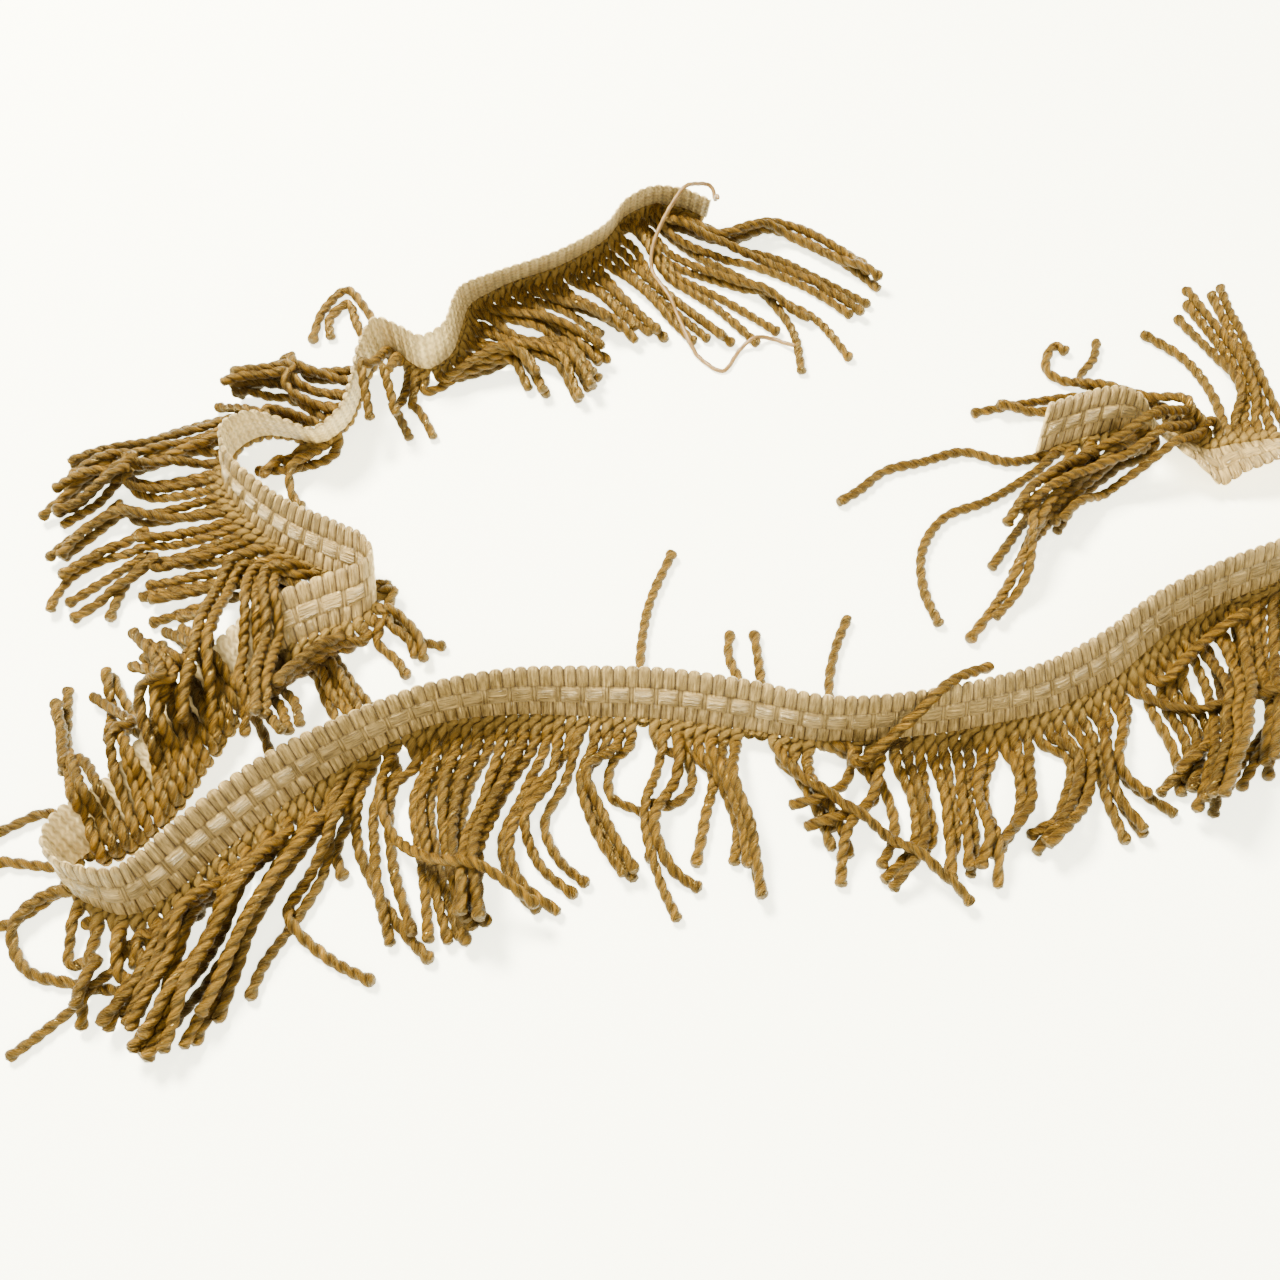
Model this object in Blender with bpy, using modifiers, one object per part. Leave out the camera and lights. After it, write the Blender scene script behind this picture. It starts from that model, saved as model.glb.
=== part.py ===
"""A length of cord fringe trim lying loosely on a flat surface.

A woven header tape stands on edge and wanders in waves, a hairpin and two curls. Three-sided
strands hang from its lower edge and lie spread on the surface and over each other. Every stretch
of strands is fused at its roots to its own narrow strip, a little below the tape's lower edge.
All tables are in millimetres; the meshes are made in metres."""

import bpy
import bmesh
import math
import numpy as np

MM = 0.001

# The tape and the strips that hold the strands
TAPE_WIDTH = 12.0
TAPE_THICK = 1.2
EDGE_LOW = 1.4            # height of the cord edge where the tape lies flat
EDGE_RISE = 2.4           # and how much more where it stands upright
STRIP_GAP = 0.4           # between the tape's edge and a strip
STRIP_DEEP = 2.4
STRIP_THICK = 1.4
ROOT_DEPTH = 1.6          # a strand starts this far below the tape's edge
STRIP_PARTING = 0.5       # between the strips of two neighbouring stretches
END_PARTING = 0.3         # from a strip to the end of the tape

# The strands
PITCH = 2.6
STRAND_LENGTH = 52.0
LENGTH_SPREAD = 3.0
MOST_SLACK = 1.15         # a strand's length over the straight line to its end
STRAND_WIDTH = 1.8        # the flat side, which lies down
STRAND_HEIGHT = 1.5
LAID_GAP = 0.4            # between strands that lie on each other
FIRST_BEND = 5.0          # the first bend's distance from the root
SEGMENTS = 5              # straight runs after the first bend
THREAD_WIDTH = 1.3        # the loose thread at the top end
TIP_SCATTER = 1.6
TURN_SCATTER = 14.0
LOOP_REACH = 2.6          # how far a turned-over strand bulges before it comes back
LOOP_RISE = 5.4
SEED = 11

# How finely the surface's height map is kept while the strands are laid
CELL = 0.4
MAP_LOW = (-175.0, -125.0)
MAP_SIZE = (440.0, 300.0)

# The middle of the whole trim on the surface, which becomes the origin
MIDDLE = (31.7, 22.5)

# The tape, from the end at the back to the end at the right. Each row is a place on it:
# x and y of its cord edge, then how far its scalloped edge leans from there in x and y.
TAPE = (
    # x, y, lean_x, lean_y
    (18.5, 133.5, 0.5, -5.5),
    (11.5, 137.8, 0.3, -5.5),
    (3.5, 138.9, 0.0, -5.5),
    (-3.5, 135.0, 0.5, -5.7),
    (-9.8, 125.2, 1.2, -5.5),
    (-20.9, 116.0, 1.0, -5.7),
    (-38.0, 107.0, 0.6, -5.5),
    (-45.2, 100.5, 0.3, -4.0),
    (-47.2, 91.0, 0.0, -0.5),
    (-49.5, 82.0, 0.0, -0.5),
    (-54.5, 78.0, 0.0, 0.0),
    (-60.5, 81.5, 0.0, 0.0),
    (-65.5, 84.0, -1.0, 0.0),
    (-68.6, 79.0, -0.5, -2.0),
    (-70.8, 69.0, 0.5, -4.0),
    (-73.5, 59.5, 1.0, -4.5),
    (-79.0, 54.5, 0.8, -5.0),
    (-86.0, 56.0, 0.5, -4.0),
    (-93.5, 56.5, 0.0, -2.5),
    (-99.5, 51.5, 0.5, -1.0),
    (-100.5, 43.0, 2.8, 0.5),
    (-94.0, 32.5, 5.0, 2.2),
    (-82.5, 22.3, 4.0, 5.6),
    (-70.0, 15.4, 1.5, 8.8),
    (-63.8, 12.6, 0.3, 8.4),
    (-60.8, 8.5, 0.0, 7.6),
    (-63.8, 4.4, -0.3, 8.4),
    (-70.0, 1.6, -1.5, 9.5),
    (-79.0, -3.5, -4.0, 9.0),
    (-88.0, -15.0, -6.5, 8.0),
    (-95.5, -30.0, -8.5, 6.5),
    (-101.5, -42.5, -8.5, 6.0),
    (-107.5, -49.0, -7.0, 6.0),
    (-112.8, -52.0, -4.6, 4.2),
    (-116.2, -56.0, -2.2, 2.6),
    (-114.4, -60.6, -1.4, 3.0),
    (-108.8, -64.0, -0.6, 4.2),
    (-102.5, -65.6, -1.4, 5.6),
    (-96.0, -62.2, -4.0, 5.0),
    (-88.4, -54.6, -5.2, 5.0),
    (-74.8, -41.9, -4.5, 5.6),
    (-58.9, -30.5, -2.6, 3.8),
    (-45.0, -23.2, -1.2, 3.2),
    (-28.5, -20.7, -0.2, 5.0),
    (-12.0, -21.1, 0.0, 6.6),
    (6.0, -21.9, 0.6, 7.0),
    (22.2, -24.2, 1.0, 6.2),
    (40.0, -27.1, 0.3, 4.9),
    (58.0, -26.0, -0.5, 4.8),
    (74.0, -23.5, -1.0, 5.6),
    (90.0, -19.5, -2.8, 6.4),
    (104.5, -12.0, -4.0, 6.2),
    (118.0, -1.0, -3.6, 5.2),
    (134.0, 8.2, -2.4, 4.4),
    (149.0, 14.5, -2.0, 4.2),
    (163.0, 21.5, -2.5, 3.5),
    (172.5, 32.0, -3.0, 0.5),
    (171.5, 46.5, -3.0, -4.0),
    (160.0, 55.0, -2.0, -9.0),
    (148.0, 54.5, -1.0, -11.0),
    (138.5, 53.5, -0.8, -11.4),
    (132.5, 57.0, -6.0, -7.0),
    (122.5, 59.0, -2.0, 0.5),
    (110.0, 56.0, 1.5, 7.0),
    (97.5, 51.5, 2.0, 7.5),
)

# Where the strands' ends lie. Each row is a lock of strands: the stretch of tape that it hangs
# from, the ends of its first and last strands, the turn in degrees of the ends from the straight
# line, how it passes the tape (0 beside it, 1 under its lean, 2 turned back over it), and its layer.
LOCKS = (
    # from, to, x0, y0, x1, y1, turn, passing, layer
    (0, 10, 63, 115, 64, 109, 0, 1, 1),
    (10, 22, 62, 103, 60, 96, 0, 1, 1),
    (22, 32, 48, 96, 30, 88, 0, 1, 2),
    (32, 42, 26, 89, 14, 87, 0, 1, 2),
    (42, 52, 8, 91, 2, 89, 0, 1, 2),
    (52, 66, 0, 91, -8, 90, 0, 1, 1),
    (66, 80, -9, 86, -10, 77, 0, 1, 1),
    (80, 96, -11, 74, -14, 68, 0, 1, 2),
    (96, 107, -19, 70, -29, 71, 0, 1, 2),
    (107, 117, -49, 57, -66, 56, 10, 0, 2),
    (117, 124, -80, 92, -85, 87, 60, 0, 2),
    (124, 146, -102, 74, -108, 68, 20, 0, 2),
    (146, 157, -96, 50, -92, 40, 0, 1, 1),
    (157, 171, -138, 50, -143, 40, 0, 0, 1),
    (171, 184, -143, 36, -141, 30, 15, 0, 1),
    (184, 196, -139, 22, -134, 16, 20, 0, 2),
    (196, 205, -137, 8, -124, 5, 10, 0, 1),
    (205, 212, -97, -26, -90, -30, 0, 0, 3),
    (212, 221, -86, -28, -78, -30, 0, 0, 4),
    (221, 231, -120, 15, -114, 7, 0, 1, 0),
    (231, 235, -44, -4, -46, -7, 0, 1, 1),
    (235, 242, -46, -7, -51, -13, 0, 1, 2),
    (242, 250, -78, -17, -80, -22, 0, 0, 3),
    (250, 262, -56, -20, -64, -26, 0, 0, 1),
    (262, 274, -66, -28, -80, -35, 0, 0, 1),
    (274, 290, -104, 4, -112, -4, 25, 2, 1),
    (290, 304, -104, -10, -111, -8, 20, 2, 1),
    (304, 320, -116, -8, -131, -18, 10, 2, 1),
    (320, 327, -146, -55, -137, -80, 30, 1, 1),
    (327, 343, -112, -90, -104, -87, -10, 0, 1),
    (343, 352, -99, -79, -93, -80, 0, 0, 0),
    (352, 366, -102, -87, -97, -91, 0, 0, 1),
    (366, 381, -97, -92, -92, -95, 0, 0, 2),
    (381, 393, -89, -91, -85, -86, 0, 0, 1),
    (393, 411, -56, -73, -44, -73, 0, 0, 1),
    (411, 420, -44, -74, -32, -70, 0, 0, 1),
    (420, 429, -33, -70, -29, -72, 0, 0, 2),
    (429, 440, -38, -66, -30, -68, 0, 0, 3),
    (440, 450, -20, -64, -18, -65, 0, 0, 1),
    (450, 458, -3, -60, 0, -58, 0, 0, 2),
    (458, 468, 3, -57, 7, -58, 0, 0, 1),
    (468, 474, 8, -56, 10, -57, 0, 0, 1),
    (474, 484, 20, -57, 28, -65, 0, 0, 2),
    (484, 490, 33, -53, 37, -57, 0, 0, 1),
    (490, 500, 37, -48, 46, -52, 0, 0, 2),
    (500, 508, 35, -46, 40, -50, 0, 0, 1),
    (508, 516, 44, -53, 47, -56, 0, 0, 2),
    (516, 524, 46, -59, 53, -58, 0, 0, 1),
    (524, 538, 62, -56, 72, -62, 0, 0, 2),
    (538, 546, 70, -55, 76, -53, 0, 0, 1),
    (546, 556, 77, -54, 83, -50, 0, 0, 2),
    (556, 566, 102, -54, 107, -47, 0, 0, 1),
    (566, 573, 108, -41, 115, -47, 0, 0, 2),
    (573, 588, 118, -41, 110, -37, 0, 0, 1),
    (588, 607, 116, -45, 122, -40, 25, 0, 3),
    (607, 626, 125, -38, 142, -32, -20, 0, 1),
    (626, 645, 152, -30, 182, -17, 10, 0, 2),
    (645, 662, 200, 0, 216, 32, 15, 0, 1),
    (662, 680, 214, 60, 186, 97, 20, 0, 2),
    (680, 692, 157, 112, 141, 102, 0, 0, 1),
    (692, 703, 133, 93, 127, 85, 0, 0, 2),
    (703, 714, 80, 64, 92, 64, 0, 0, 3),
    (714, 724, 100, 30, 90, 22, 0, 1, 2),
    (724, 736, 88, 16, 80, 18, 0, 1, 1),
    (736, 746, 74, 20, 58, 28, 0, 1, 2),
)

# Points that all strands of a lock pass by on their way, by the start of the lock
WAYS = {
    # start: (x, y of the first strand, x, y of the last strand), ...
    0: ((23, 127, 21, 124), (42, 134, 37, 128), (56, 124, 52, 119)),
    10: ((21, 125, 9, 121), (38, 122, 26, 114), (52, 112, 42, 106)),
    22: ((13, 117, 5, 113), (30, 108, 18, 101)),
    32: ((4, 113, -2, 109),),
    42: ((-5, 108, -11, 105),),
    52: ((-15, 104, -23, 101),),
    66: ((-25, 98, -31, 95),),
    80: ((-31, 90, -35, 84), (-19, 87, -22, 80)),
    96: ((-40, 80, -45, 77), (-29, 82, -34, 80)),
    157: ((-93, 66, -103, 57), (-108, 63, -113, 50)),
    205: ((-95, 20, -90, 17), (-98, 6, -92, 4), (-98, -10, -91, -12)),
    212: ((-88, 15, -81, 13), (-88, 2, -80, 0), (-87, -14, -79, -14)),
    221: ((-86, 17, -84, 12),),
    231: ((-56, 6, -57, 4), (-49, 1, -51, -2)),
    235: ((-57, 4, -60, -1), (-51, -2, -55, -7)),
    242: ((-65, -3, -70, -6), (-72, -9, -75, -13)),
    250: ((-67, -6, -75, -9), (-62, -13, -69, -17)),
    262: ((-77, -12, -85, -19), (-71, -20, -83, -27)),
    343: ((-103, -71, -96, -69),),
    352: ((-95, -70, -88, -64), (-98, -79, -91, -77)),
    366: ((-83, -60, -75, -54), (-88, -75, -83, -71)),
    381: ((-73, -52, -66, -47), (-79, -68, -75, -64)),
    393: ((-63, -44, -52, -38), (-62, -56, -51, -52)),
    411: ((-49, -40, -43, -40), (-46, -55, -40, -55)),
    420: ((-42, -37, -36, -37), (-40, -52, -37, -54)),
    429: ((-33, -36, -27, -36), (-36, -50, -32, -52)),
    440: ((-25, -38, -21, -38), (-29, -51, -26, -51), (-26, -59, -23, -59)),
    450: ((-13, -36, -11, -34), (-11, -46, -7, -44)),
    458: ((-6, -31, -3, -30), (-7, -39, -2, -39), (1, -44, 5, -43)),
    468: ((13, -33, 16, -33), (13, -44, 14, -44)),
    474: ((16, -35, 20, -36), (20, -46, 23, -47)),
    484: ((24, -37, 27, -38), (27, -46, 30, -47)),
    490: ((31, -34, 37, -36), (34, -41, 42, -44)),
    500: ((43, -34, 48, -34), (42, -41, 46, -43)),
    508: ((50, -38, 55, -38), (52, -47, 55, -48)),
    516: ((57, -38, 62, -38), (57, -49, 62, -50)),
    524: ((64, -38, 74, -36), (64, -48, 74, -50)),
    538: ((79, -33, 84, -31), (79, -43, 82, -42)),
    546: ((91, -30, 97, -30), (88, -42, 94, -41)),
    556: ((98, -27, 102, -26), (98, -38, 102, -37)),
    566: ((105, -23, 108, -22), (102, -33, 105, -33)),
    573: ((112, -18, 121, -12), (115, -29, 124, -25)),
    588: ((125, -13, 137, -5), (122, -29, 130, -23)),
    680: ((160, 71, 152, 71),),
    692: ((147, 70, 142, 68), (143, 83, 135, 80)),
    703: ((131, 67, 125, 64), (118, 71, 112, 67), (98, 69, 102, 65)),
    714: ((118, 48, 112, 47), (108, 40, 103, 38)),
    724: ((108, 45, 100, 44), (98, 32, 90, 32)),
    736: ((93, 44, 86, 48), (82, 33, 70, 41)),
}

# To which side of the tape the strands hang, walking along it: 1 is left, -1 is right
SIDES = (
    # up to, side
    (117, 1),
    (146, -1),
    (157, 1),
    (231, -1),
    (320, 1),
    (714, -1),
    (750, 1),
)

# Single strands that leave the locks: their place on the tape, how they pass it, their layer,
# and the points that they run through.
STRAYS = (
    (20, 1, 0, ((14, 122), (32, 108), (40, 94), (42, 77))),
    (25, 1, 0, ((8, 118), (28, 108), (46, 98), (55, 83))),
    (118, 0, 3, ((-73, 101), (-79, 108), (-84, 101), (-86, 88))),
    (121, 0, 3, ((-75, 96), (-78, 103), (-82, 98), (-81, 90))),
    (149, 1, 1, ((-80, 51), (-85, 45), (-84, 39), (-81, 36))),
    (239, 1, 3, ((-56, 5), (-50, -1), (-48, -9))),
    (322, 1, 1, ((-119, -46), (-125, -43), (-132, -46), (-140, -51), (-150, -58))),
    (329, 0, 1, ((-121, -62), (-126, -69), (-122, -76), (-112, -79), (-98, -81))),
    (334, 0, 0, ((-109, -66), (-114, -67))),
    (340, 0, 1, ((-103, -74), (-107, -80), (-114, -87), (-122, -94))),
    (394, 0, 2, ((-64, -45), (-65, -56), (-70, -67), (-75, -76), (-77, -84))),
    (397, 0, 1, ((-61, -43), (-63, -52), (-60, -59))),
    (399, 0, 3, ((-62, -44), (-66, -54), (-71, -65), (-62, -74), (-52, -79))),
    (402, 0, 1, ((-59, -39), (-59, -49), (-55, -58), (-48, -68), (-40, -76))),
    (407, 0, 4, ((-55, -38), (-51, -49), (-42, -56), (-31, -59), (-20, -65))),
    (445, 0, 3, ((-19, -36), (-24, -46), (-21, -54), (-12, -62))),
    (448, 0, 3, ((-16, -36), (-20, -46), (-17, -53), (-9, -60))),
    (462, 1, 0, ((0, -8), (2, 8), (8, 24))),
    (464, 0, 2, ((4, -27), (10, -31), (11, -37), (7, -41), (1, -41))),
    (467, 0, 2, ((4, -32), (1, -43), (3, -55), (8, -67))),
    (470, 0, 3, ((8, -34), (3, -46), (6, -55), (13, -60))),
    (486, 1, 0, ((23, -14), (20, -4), (21, 3))),
    (489, 1, 0, ((27, -12), (26, 2))),
    (492, 0, 4, ((32, -34), (41, -42), (52, -50), (61, -57), (68, -64))),
    (500, 0, 3, ((45, -30), (44, -36), (38, -41), (31, -42))),
    (503, 0, 2, ((47, -32), (50, -39), (44, -44), (34, -47))),
    (506, 1, 0, ((42, -14), (44, -4), (48, 6))),
    (510, 0, 4, ((45, -33), (56, -27), (66, -19), (77, -12))),
    (513, 0, 3, ((49, -40), (43, -48), (41, -61))),
    (572, 0, 3, ((110, -15), (119, -20), (130, -19), (142, -17))),
    (577, 0, 4, ((115, -13), (121, -8), (128, -2), (138, 4))),
    (695, 0, 5, ((143, 60), (135, 53), (123, 45), (112, 39), (103, 33), (98, 27))),
    (698, 0, 5, ((140, 60), (132, 55), (120, 48), (108, 42), (97, 36), (88, 28))),
    (701, 0, 5, ((137, 60), (129, 57), (117, 51), (105, 45), (94, 37), (84, 24))),
    (706, 0, 5, ((134, 64), (125, 68), (114, 73), (105, 80), (109, 88), (112, 85))),
    (709, 0, 5, ((130, 66), (119, 70), (113, 76), (118, 84), (120, 91))),
    (730, 1, 3, ((107, 46), (96, 32), (86, 14), (74, -2))),
    (734, 1, 3, ((102, 44), (92, 30), (89, 14), (80, 3))),
    (738, 1, 3, ((96, 46), (84, 38), (73, 33), (67, 24), (66, 13), (69, 2))),
    (741, 1, 3, ((93, 47), (80, 42), (68, 36), (60, 29), (52, 24))),
    (743, 1, 3, ((91, 50), (80, 53), (70, 50), (60, 47), (53, 41), (47, 37))),
)

# The loose thread, which springs from the top end and lies over the strands.
THREAD_START = 15.0
THREAD_ROUTE = ((21, 128), (19.5, 138), (10, 130), (3, 116), (9, 100), (16, 84), (21, 80), (27, 88), (34, 91), (42, 86))

# The stretches of strands, each with a strip of its own
STRETCHES = (
    # name, from, to
    ("fringe_top_end", 0, 52),
    ("fringe_top_run", 52, 117),
    ("fringe_bend", 117, 171),
    ("fringe_curl", 171, 221),
    ("fringe_hairpin", 221, 274),
    ("fringe_turned_over", 274, 320),
    ("fringe_left_curl", 320, 383),
    ("fringe_front_left", 383, 451),
    ("fringe_front_middle", 451, 521),
    ("fringe_front_right", 521, 588),
    ("fringe_right_edge", 588, 645),
    ("fringe_return", 645, 703),
    ("fringe_right_end", 703, 746),
)

TAPE_COLOUR = (0.56, 0.42, 0.22)
CORD_COLOUR = (0.46, 0.26, 0.07)


def smooth(rows, step):
    """A smooth curve through rows of numbers, read at even distances along its first two
    columns. Between two rows it is the cubic with the mean slopes of the runs beside them."""
    rows = np.array(rows, float)
    along = np.concatenate([[0], np.cumsum(np.hypot(*np.diff(rows[:, :2], axis=0).T))])
    slopes = np.gradient(rows, along, axis=0)
    fine = np.linspace(0, along[-1], 12 * len(rows) * 4)
    k = np.clip(np.searchsorted(along, fine, side="right") - 1, 0, len(rows) - 2)
    run = (along[k + 1] - along[k])[:, None]
    w = (fine - along[k])[:, None] / run
    curve = (2 * w**3 - 3 * w**2 + 1) * rows[k] + (w**3 - 2 * w**2 + w) * run * slopes[k]
    curve += (3 * w**2 - 2 * w**3) * rows[k + 1] + (w**3 - w**2) * run * slopes[k + 1]
    length = np.concatenate([[0], np.cumsum(np.hypot(*np.diff(curve[:, :2], axis=0).T))])
    places = np.linspace(0, length[-1], max(2, round(length[-1] / step) + 1))
    return places, np.stack([np.interp(places, length, column) for column in curve.T], axis=1)


PLACES, TAPE_CURVE = smooth(TAPE, 0.5)


def tape_at(places):
    """The tape's cord edge, and the unit direction from it to the scalloped edge."""
    x, y, lean_x, lean_y = (np.interp(places, PLACES, column) for column in TAPE_CURVE.T)
    rise = np.sqrt(TAPE_WIDTH**2 - lean_x**2 - lean_y**2)
    edge = np.stack([x, y, EDGE_LOW + EDGE_RISE * rise / TAPE_WIDTH], axis=-1)
    return edge, np.stack([lean_x, lean_y, rise], axis=-1) / TAPE_WIDTH


def stations(start, end, spacing=10.0, bend=20.0):
    """Places along the tape, closer together where it turns or tilts."""
    fine = np.linspace(start, end, max(3, int((end - start) * 2)))
    edge, across = tape_at(fine)
    heading = np.diff(edge[:, :2], axis=0)
    turning = np.abs(np.diff(np.unwrap(np.arctan2(heading[:, 1], heading[:, 0]))))
    tilting = np.linalg.norm(np.diff(across, axis=0), axis=1)
    effort = np.diff(fine) / spacing + (tilting + np.append(turning, 0)) / math.radians(bend)
    total = np.concatenate([[0], np.cumsum(effort)])
    return np.interp(np.linspace(0, total[-1], max(3, round(total[-1]) + 1)), total, fine)


def material(name, colour, roughness):
    made = bpy.data.materials.new(name)
    made.use_nodes = True
    shader = made.node_tree.nodes["Principled BSDF"]
    shader.inputs["Base Color"].default_value = (*colour, 1)
    shader.inputs["Roughness"].default_value = roughness
    shader.inputs["Metallic"].default_value = 0.0
    return made


def object_from(name, points, faces, home, finish):
    """A mesh object from points in millimetres, moved so that the trim's middle is the origin."""
    mesh = bpy.data.meshes.new(name)
    mesh.from_pydata(((np.asarray(points) - (*MIDDLE, 0)) * MM).tolist(), [], faces)
    mesh.validate()
    made = bpy.data.objects.new(name, mesh)
    mesh.materials.append(finish)
    home.objects.link(made)
    return made


def band(name, start, end, low, high, thick, home, finish):
    """A ribbon along the tape from low to high across it, given its thickness by Solidify."""
    edge, across = tape_at(stations(start, end))
    points = np.concatenate([edge + low * across, edge + high * across])
    count = len(edge)
    faces = [(i, i + 1, count + i + 1, count + i) for i in range(count - 1)]
    made = object_from(name, points, faces, home, finish)
    solid = made.modifiers.new("thickness", "SOLIDIFY")
    solid.thickness = thick * MM
    solid.offset = 0
    return made


def bezier(start, out, end, arrive, reach):
    """A cubic from start towards out, arriving at end along arrive, with handles of that reach."""
    t = np.linspace(0, 1, 60)[:, None]
    near = start + out * reach
    far = end - arrive * reach
    return (1 - t)**3 * start + 3 * t * (1 - t)**2 * near + 3 * t**2 * (1 - t) * far + t**3 * end


def length_of(points):
    return np.hypot(*np.diff(points, axis=0).T).sum()


def towards(side, aim, most=35.0):
    """A unit vector from side turned towards aim by at most that many degrees."""
    gap = math.atan2(side[0] * aim[1] - side[1] * aim[0], side @ aim)
    turn = max(-math.radians(most), min(math.radians(most), gap))
    cos, sin = math.cos(turn), math.sin(turn)
    return np.array([side[0] * cos - side[1] * sin, side[0] * sin + side[1] * cos])


def plan_to_tip(root, out, tip, turn, length):
    """A strand's plan from its root to its tip: the handles grow until it has its length."""
    chord = tip - root
    length = min(length, MOST_SLACK * np.hypot(*chord))
    heading = math.atan2(chord[1], chord[0]) + math.radians(turn)
    arrive = np.array([math.cos(heading), math.sin(heading)])
    reaches = np.linspace(0.15, 1.6, 30) * length
    plans = [bezier(root, out, tip, arrive, reach) for reach in reaches]
    return min(plans, key=lambda plan: abs(length_of(plan) - length))


def strands():
    """Every strand as its place on the tape, its root, its plan, how it passes the tape and its
    layer. A stray takes the place of the lock's strand nearest to it."""
    rng = np.random.default_rng(SEED)
    count = int((PLACES[-1] - PITCH) / PITCH)
    places = PITCH * (0.75 + np.arange(count))
    strays = {int(np.argmin(abs(places - row[0]))): row for row in STRAYS}
    made = []
    for i, place in enumerate(places):
        scatter = rng.normal(0, 1, 4)
        edge, across = tape_at(place)
        root = edge - ROOT_DEPTH * across
        tangent = tape_at(place + 1)[0] - tape_at(place - 1)[0]
        side = np.array([-tangent[1], tangent[0]]) / np.hypot(*tangent[:2])
        if i in strays:
            _, passing, layer, route = strays[i]
            _, plan = smooth([root[:2], *route], 0.5)
        else:
            lock = next(row for row in LOCKS if row[0] <= place < row[1])
            start, end, x0, y0, x1, y1, turn, passing, layer = lock
            share = (place - start) / (end - start)
            tip = np.array([x0 + (x1 - x0) * share, y0 + (y1 - y0) * share]) + TIP_SCATTER * scatter[:2]
            side = side * next(row[1] for row in SIDES if place < row[0])
            if passing == 2:
                side = -side
            length = STRAND_LENGTH + LENGTH_SPREAD * scatter[2]
            if start in WAYS:
                ways = [(x0 + (x1 - x0) * share, y0 + (y1 - y0) * share) for x0, y0, x1, y1 in WAYS[start]]
                _, plan = smooth([root[:2], root[:2] + side * FIRST_BEND, *ways, tip], 0.5)
            else:
                out = towards(side, tip - root[:2])
                plan = plan_to_tip(root[:2], out, tip, turn + TURN_SCATTER * scatter[3], length)
        made.append((place, root, plan, passing, layer, i))
    return made


def laying_order(strand):
    """Strands under the tape come first, then those turned over it, then layer by layer, every
    other one before the ones between them, so that no stack leans on itself like stairs."""
    _, _, _, passing, layer, i = strand
    rank = {1: 0, 2: 1, 0: 2}[passing]
    return rank, layer, i % 2, i


class HeightMap:
    """The height of what already lies on the surface, on a grid of square cells."""

    def __init__(self):
        self.top = np.zeros([int(side / CELL) + 1 for side in MAP_SIZE])

    def cells(self, points):
        return tuple(((points - MAP_LOW) / CELL).round().astype(int).T)

    def raise_to(self, points, heights):
        np.maximum.at(self.top, self.cells(points), heights)

    def under(self, points):
        return self.top[self.cells(points)]


def lateral(points):
    """Unit vectors to the left of a plan."""
    ahead = np.gradient(points, axis=0)
    return np.stack([-ahead[:, 1], ahead[:, 0]], axis=1) / np.hypot(*ahead.T)[:, None]


def lay_down(corners, low_start, width, strands_bed, tape_bed, free):
    """The heights at which a strand's corners lie: on the surface, or just high enough for its
    straight runs to clear what the beds hold. The tape isn't in its way for the first `free`
    millimetres, where the strand leaves its own strip."""
    run = np.concatenate([[0], np.cumsum(np.hypot(*np.diff(corners, axis=0).T))])
    along = np.arange(0, run[-1], CELL)
    path = np.stack([np.interp(along, run, column) for column in corners.T], axis=1)
    aside = lateral(path)
    need = np.zeros(len(path))
    for offset in np.arange(-width / 2, width / 2 + CELL, CELL):
        need = np.maximum(need, strands_bed.under(path + aside * offset))
        if tape_bed is not None:
            need = np.maximum(need, np.where(along > free, tape_bed.under(path + aside * offset), 0))
    need = np.where(need > 0, need + LAID_GAP, 0)
    segment = np.clip(np.searchsorted(run, along, side="right") - 1, 0, len(corners) - 2)
    share = (along - run[segment]) / (run[segment + 1] - run[segment])
    heights = np.zeros(len(corners))
    np.maximum.at(heights, segment, need)
    np.maximum.at(heights, segment + 1, need)
    most = heights.copy()
    heights[0] = low_start
    for _ in range(12):
        for k in range(1, len(corners)):
            before = (segment == k - 1) & (share > 0.05)
            after = (segment == k) & (share < 0.95)
            floor = (need[before] - (1 - share[before]) * heights[k - 1]) / share[before]
            lowest = floor.max(initial=0)
            if after.any():
                floor = (need[after] - share[after] * heights[k + 1]) / (1 - share[after])
                lowest = max(lowest, floor.max(initial=0))
            heights[k] = min(lowest, most[k])
    level = np.interp(along, run, heights)
    return heights, path, aside, level


def stamp(bed, path, aside, level, width, height):
    """Adds a laid strand to the height map, with its three-sided section, which starts as high
    as the strip."""
    root_rise = np.arange(STRIP_DEEP, 0, -STRIP_DEEP * CELL / FIRST_BEND)
    height = height * np.hypot(1, np.gradient(level, CELL))
    for offset in np.arange(-width / 2, width / 2 + CELL, CELL):
        top = level + height * max(0.0, 1 - abs(offset) / (width / 2))
        top[:len(root_rise)] += root_rise[:len(top)]
        bed.raise_to(path + aside * offset, top)


def stamp_tape(bed):
    """Adds the tape and the strips to a height map."""
    edge, across = tape_at(PLACES)
    for offset in np.arange(-STRIP_GAP - STRIP_DEEP, TAPE_WIDTH + CELL, CELL):
        points = edge + offset * across
        for shift in (-1, 0, 1):
            bed.raise_to(points[:, :2] + shift * CELL, points[:, 2] + TAPE_THICK / 2)


def rings(spine, aside, width, height):
    """The three corners of a strand at each bend but its root: right, left and top. The section
    stands square to the spine, which runs along the middle of the flat side."""
    ahead = np.gradient(spine, axis=0)
    ahead /= np.linalg.norm(ahead, axis=1)[:, None]
    across = np.column_stack([aside, np.zeros(len(aside))])
    up = np.cross(ahead, across)
    up /= np.linalg.norm(up, axis=1)[:, None]
    sides = [spine - across * width / 2, spine + across * width / 2, spine + up * height]
    return np.stack(sides, axis=1)[1:]


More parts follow.
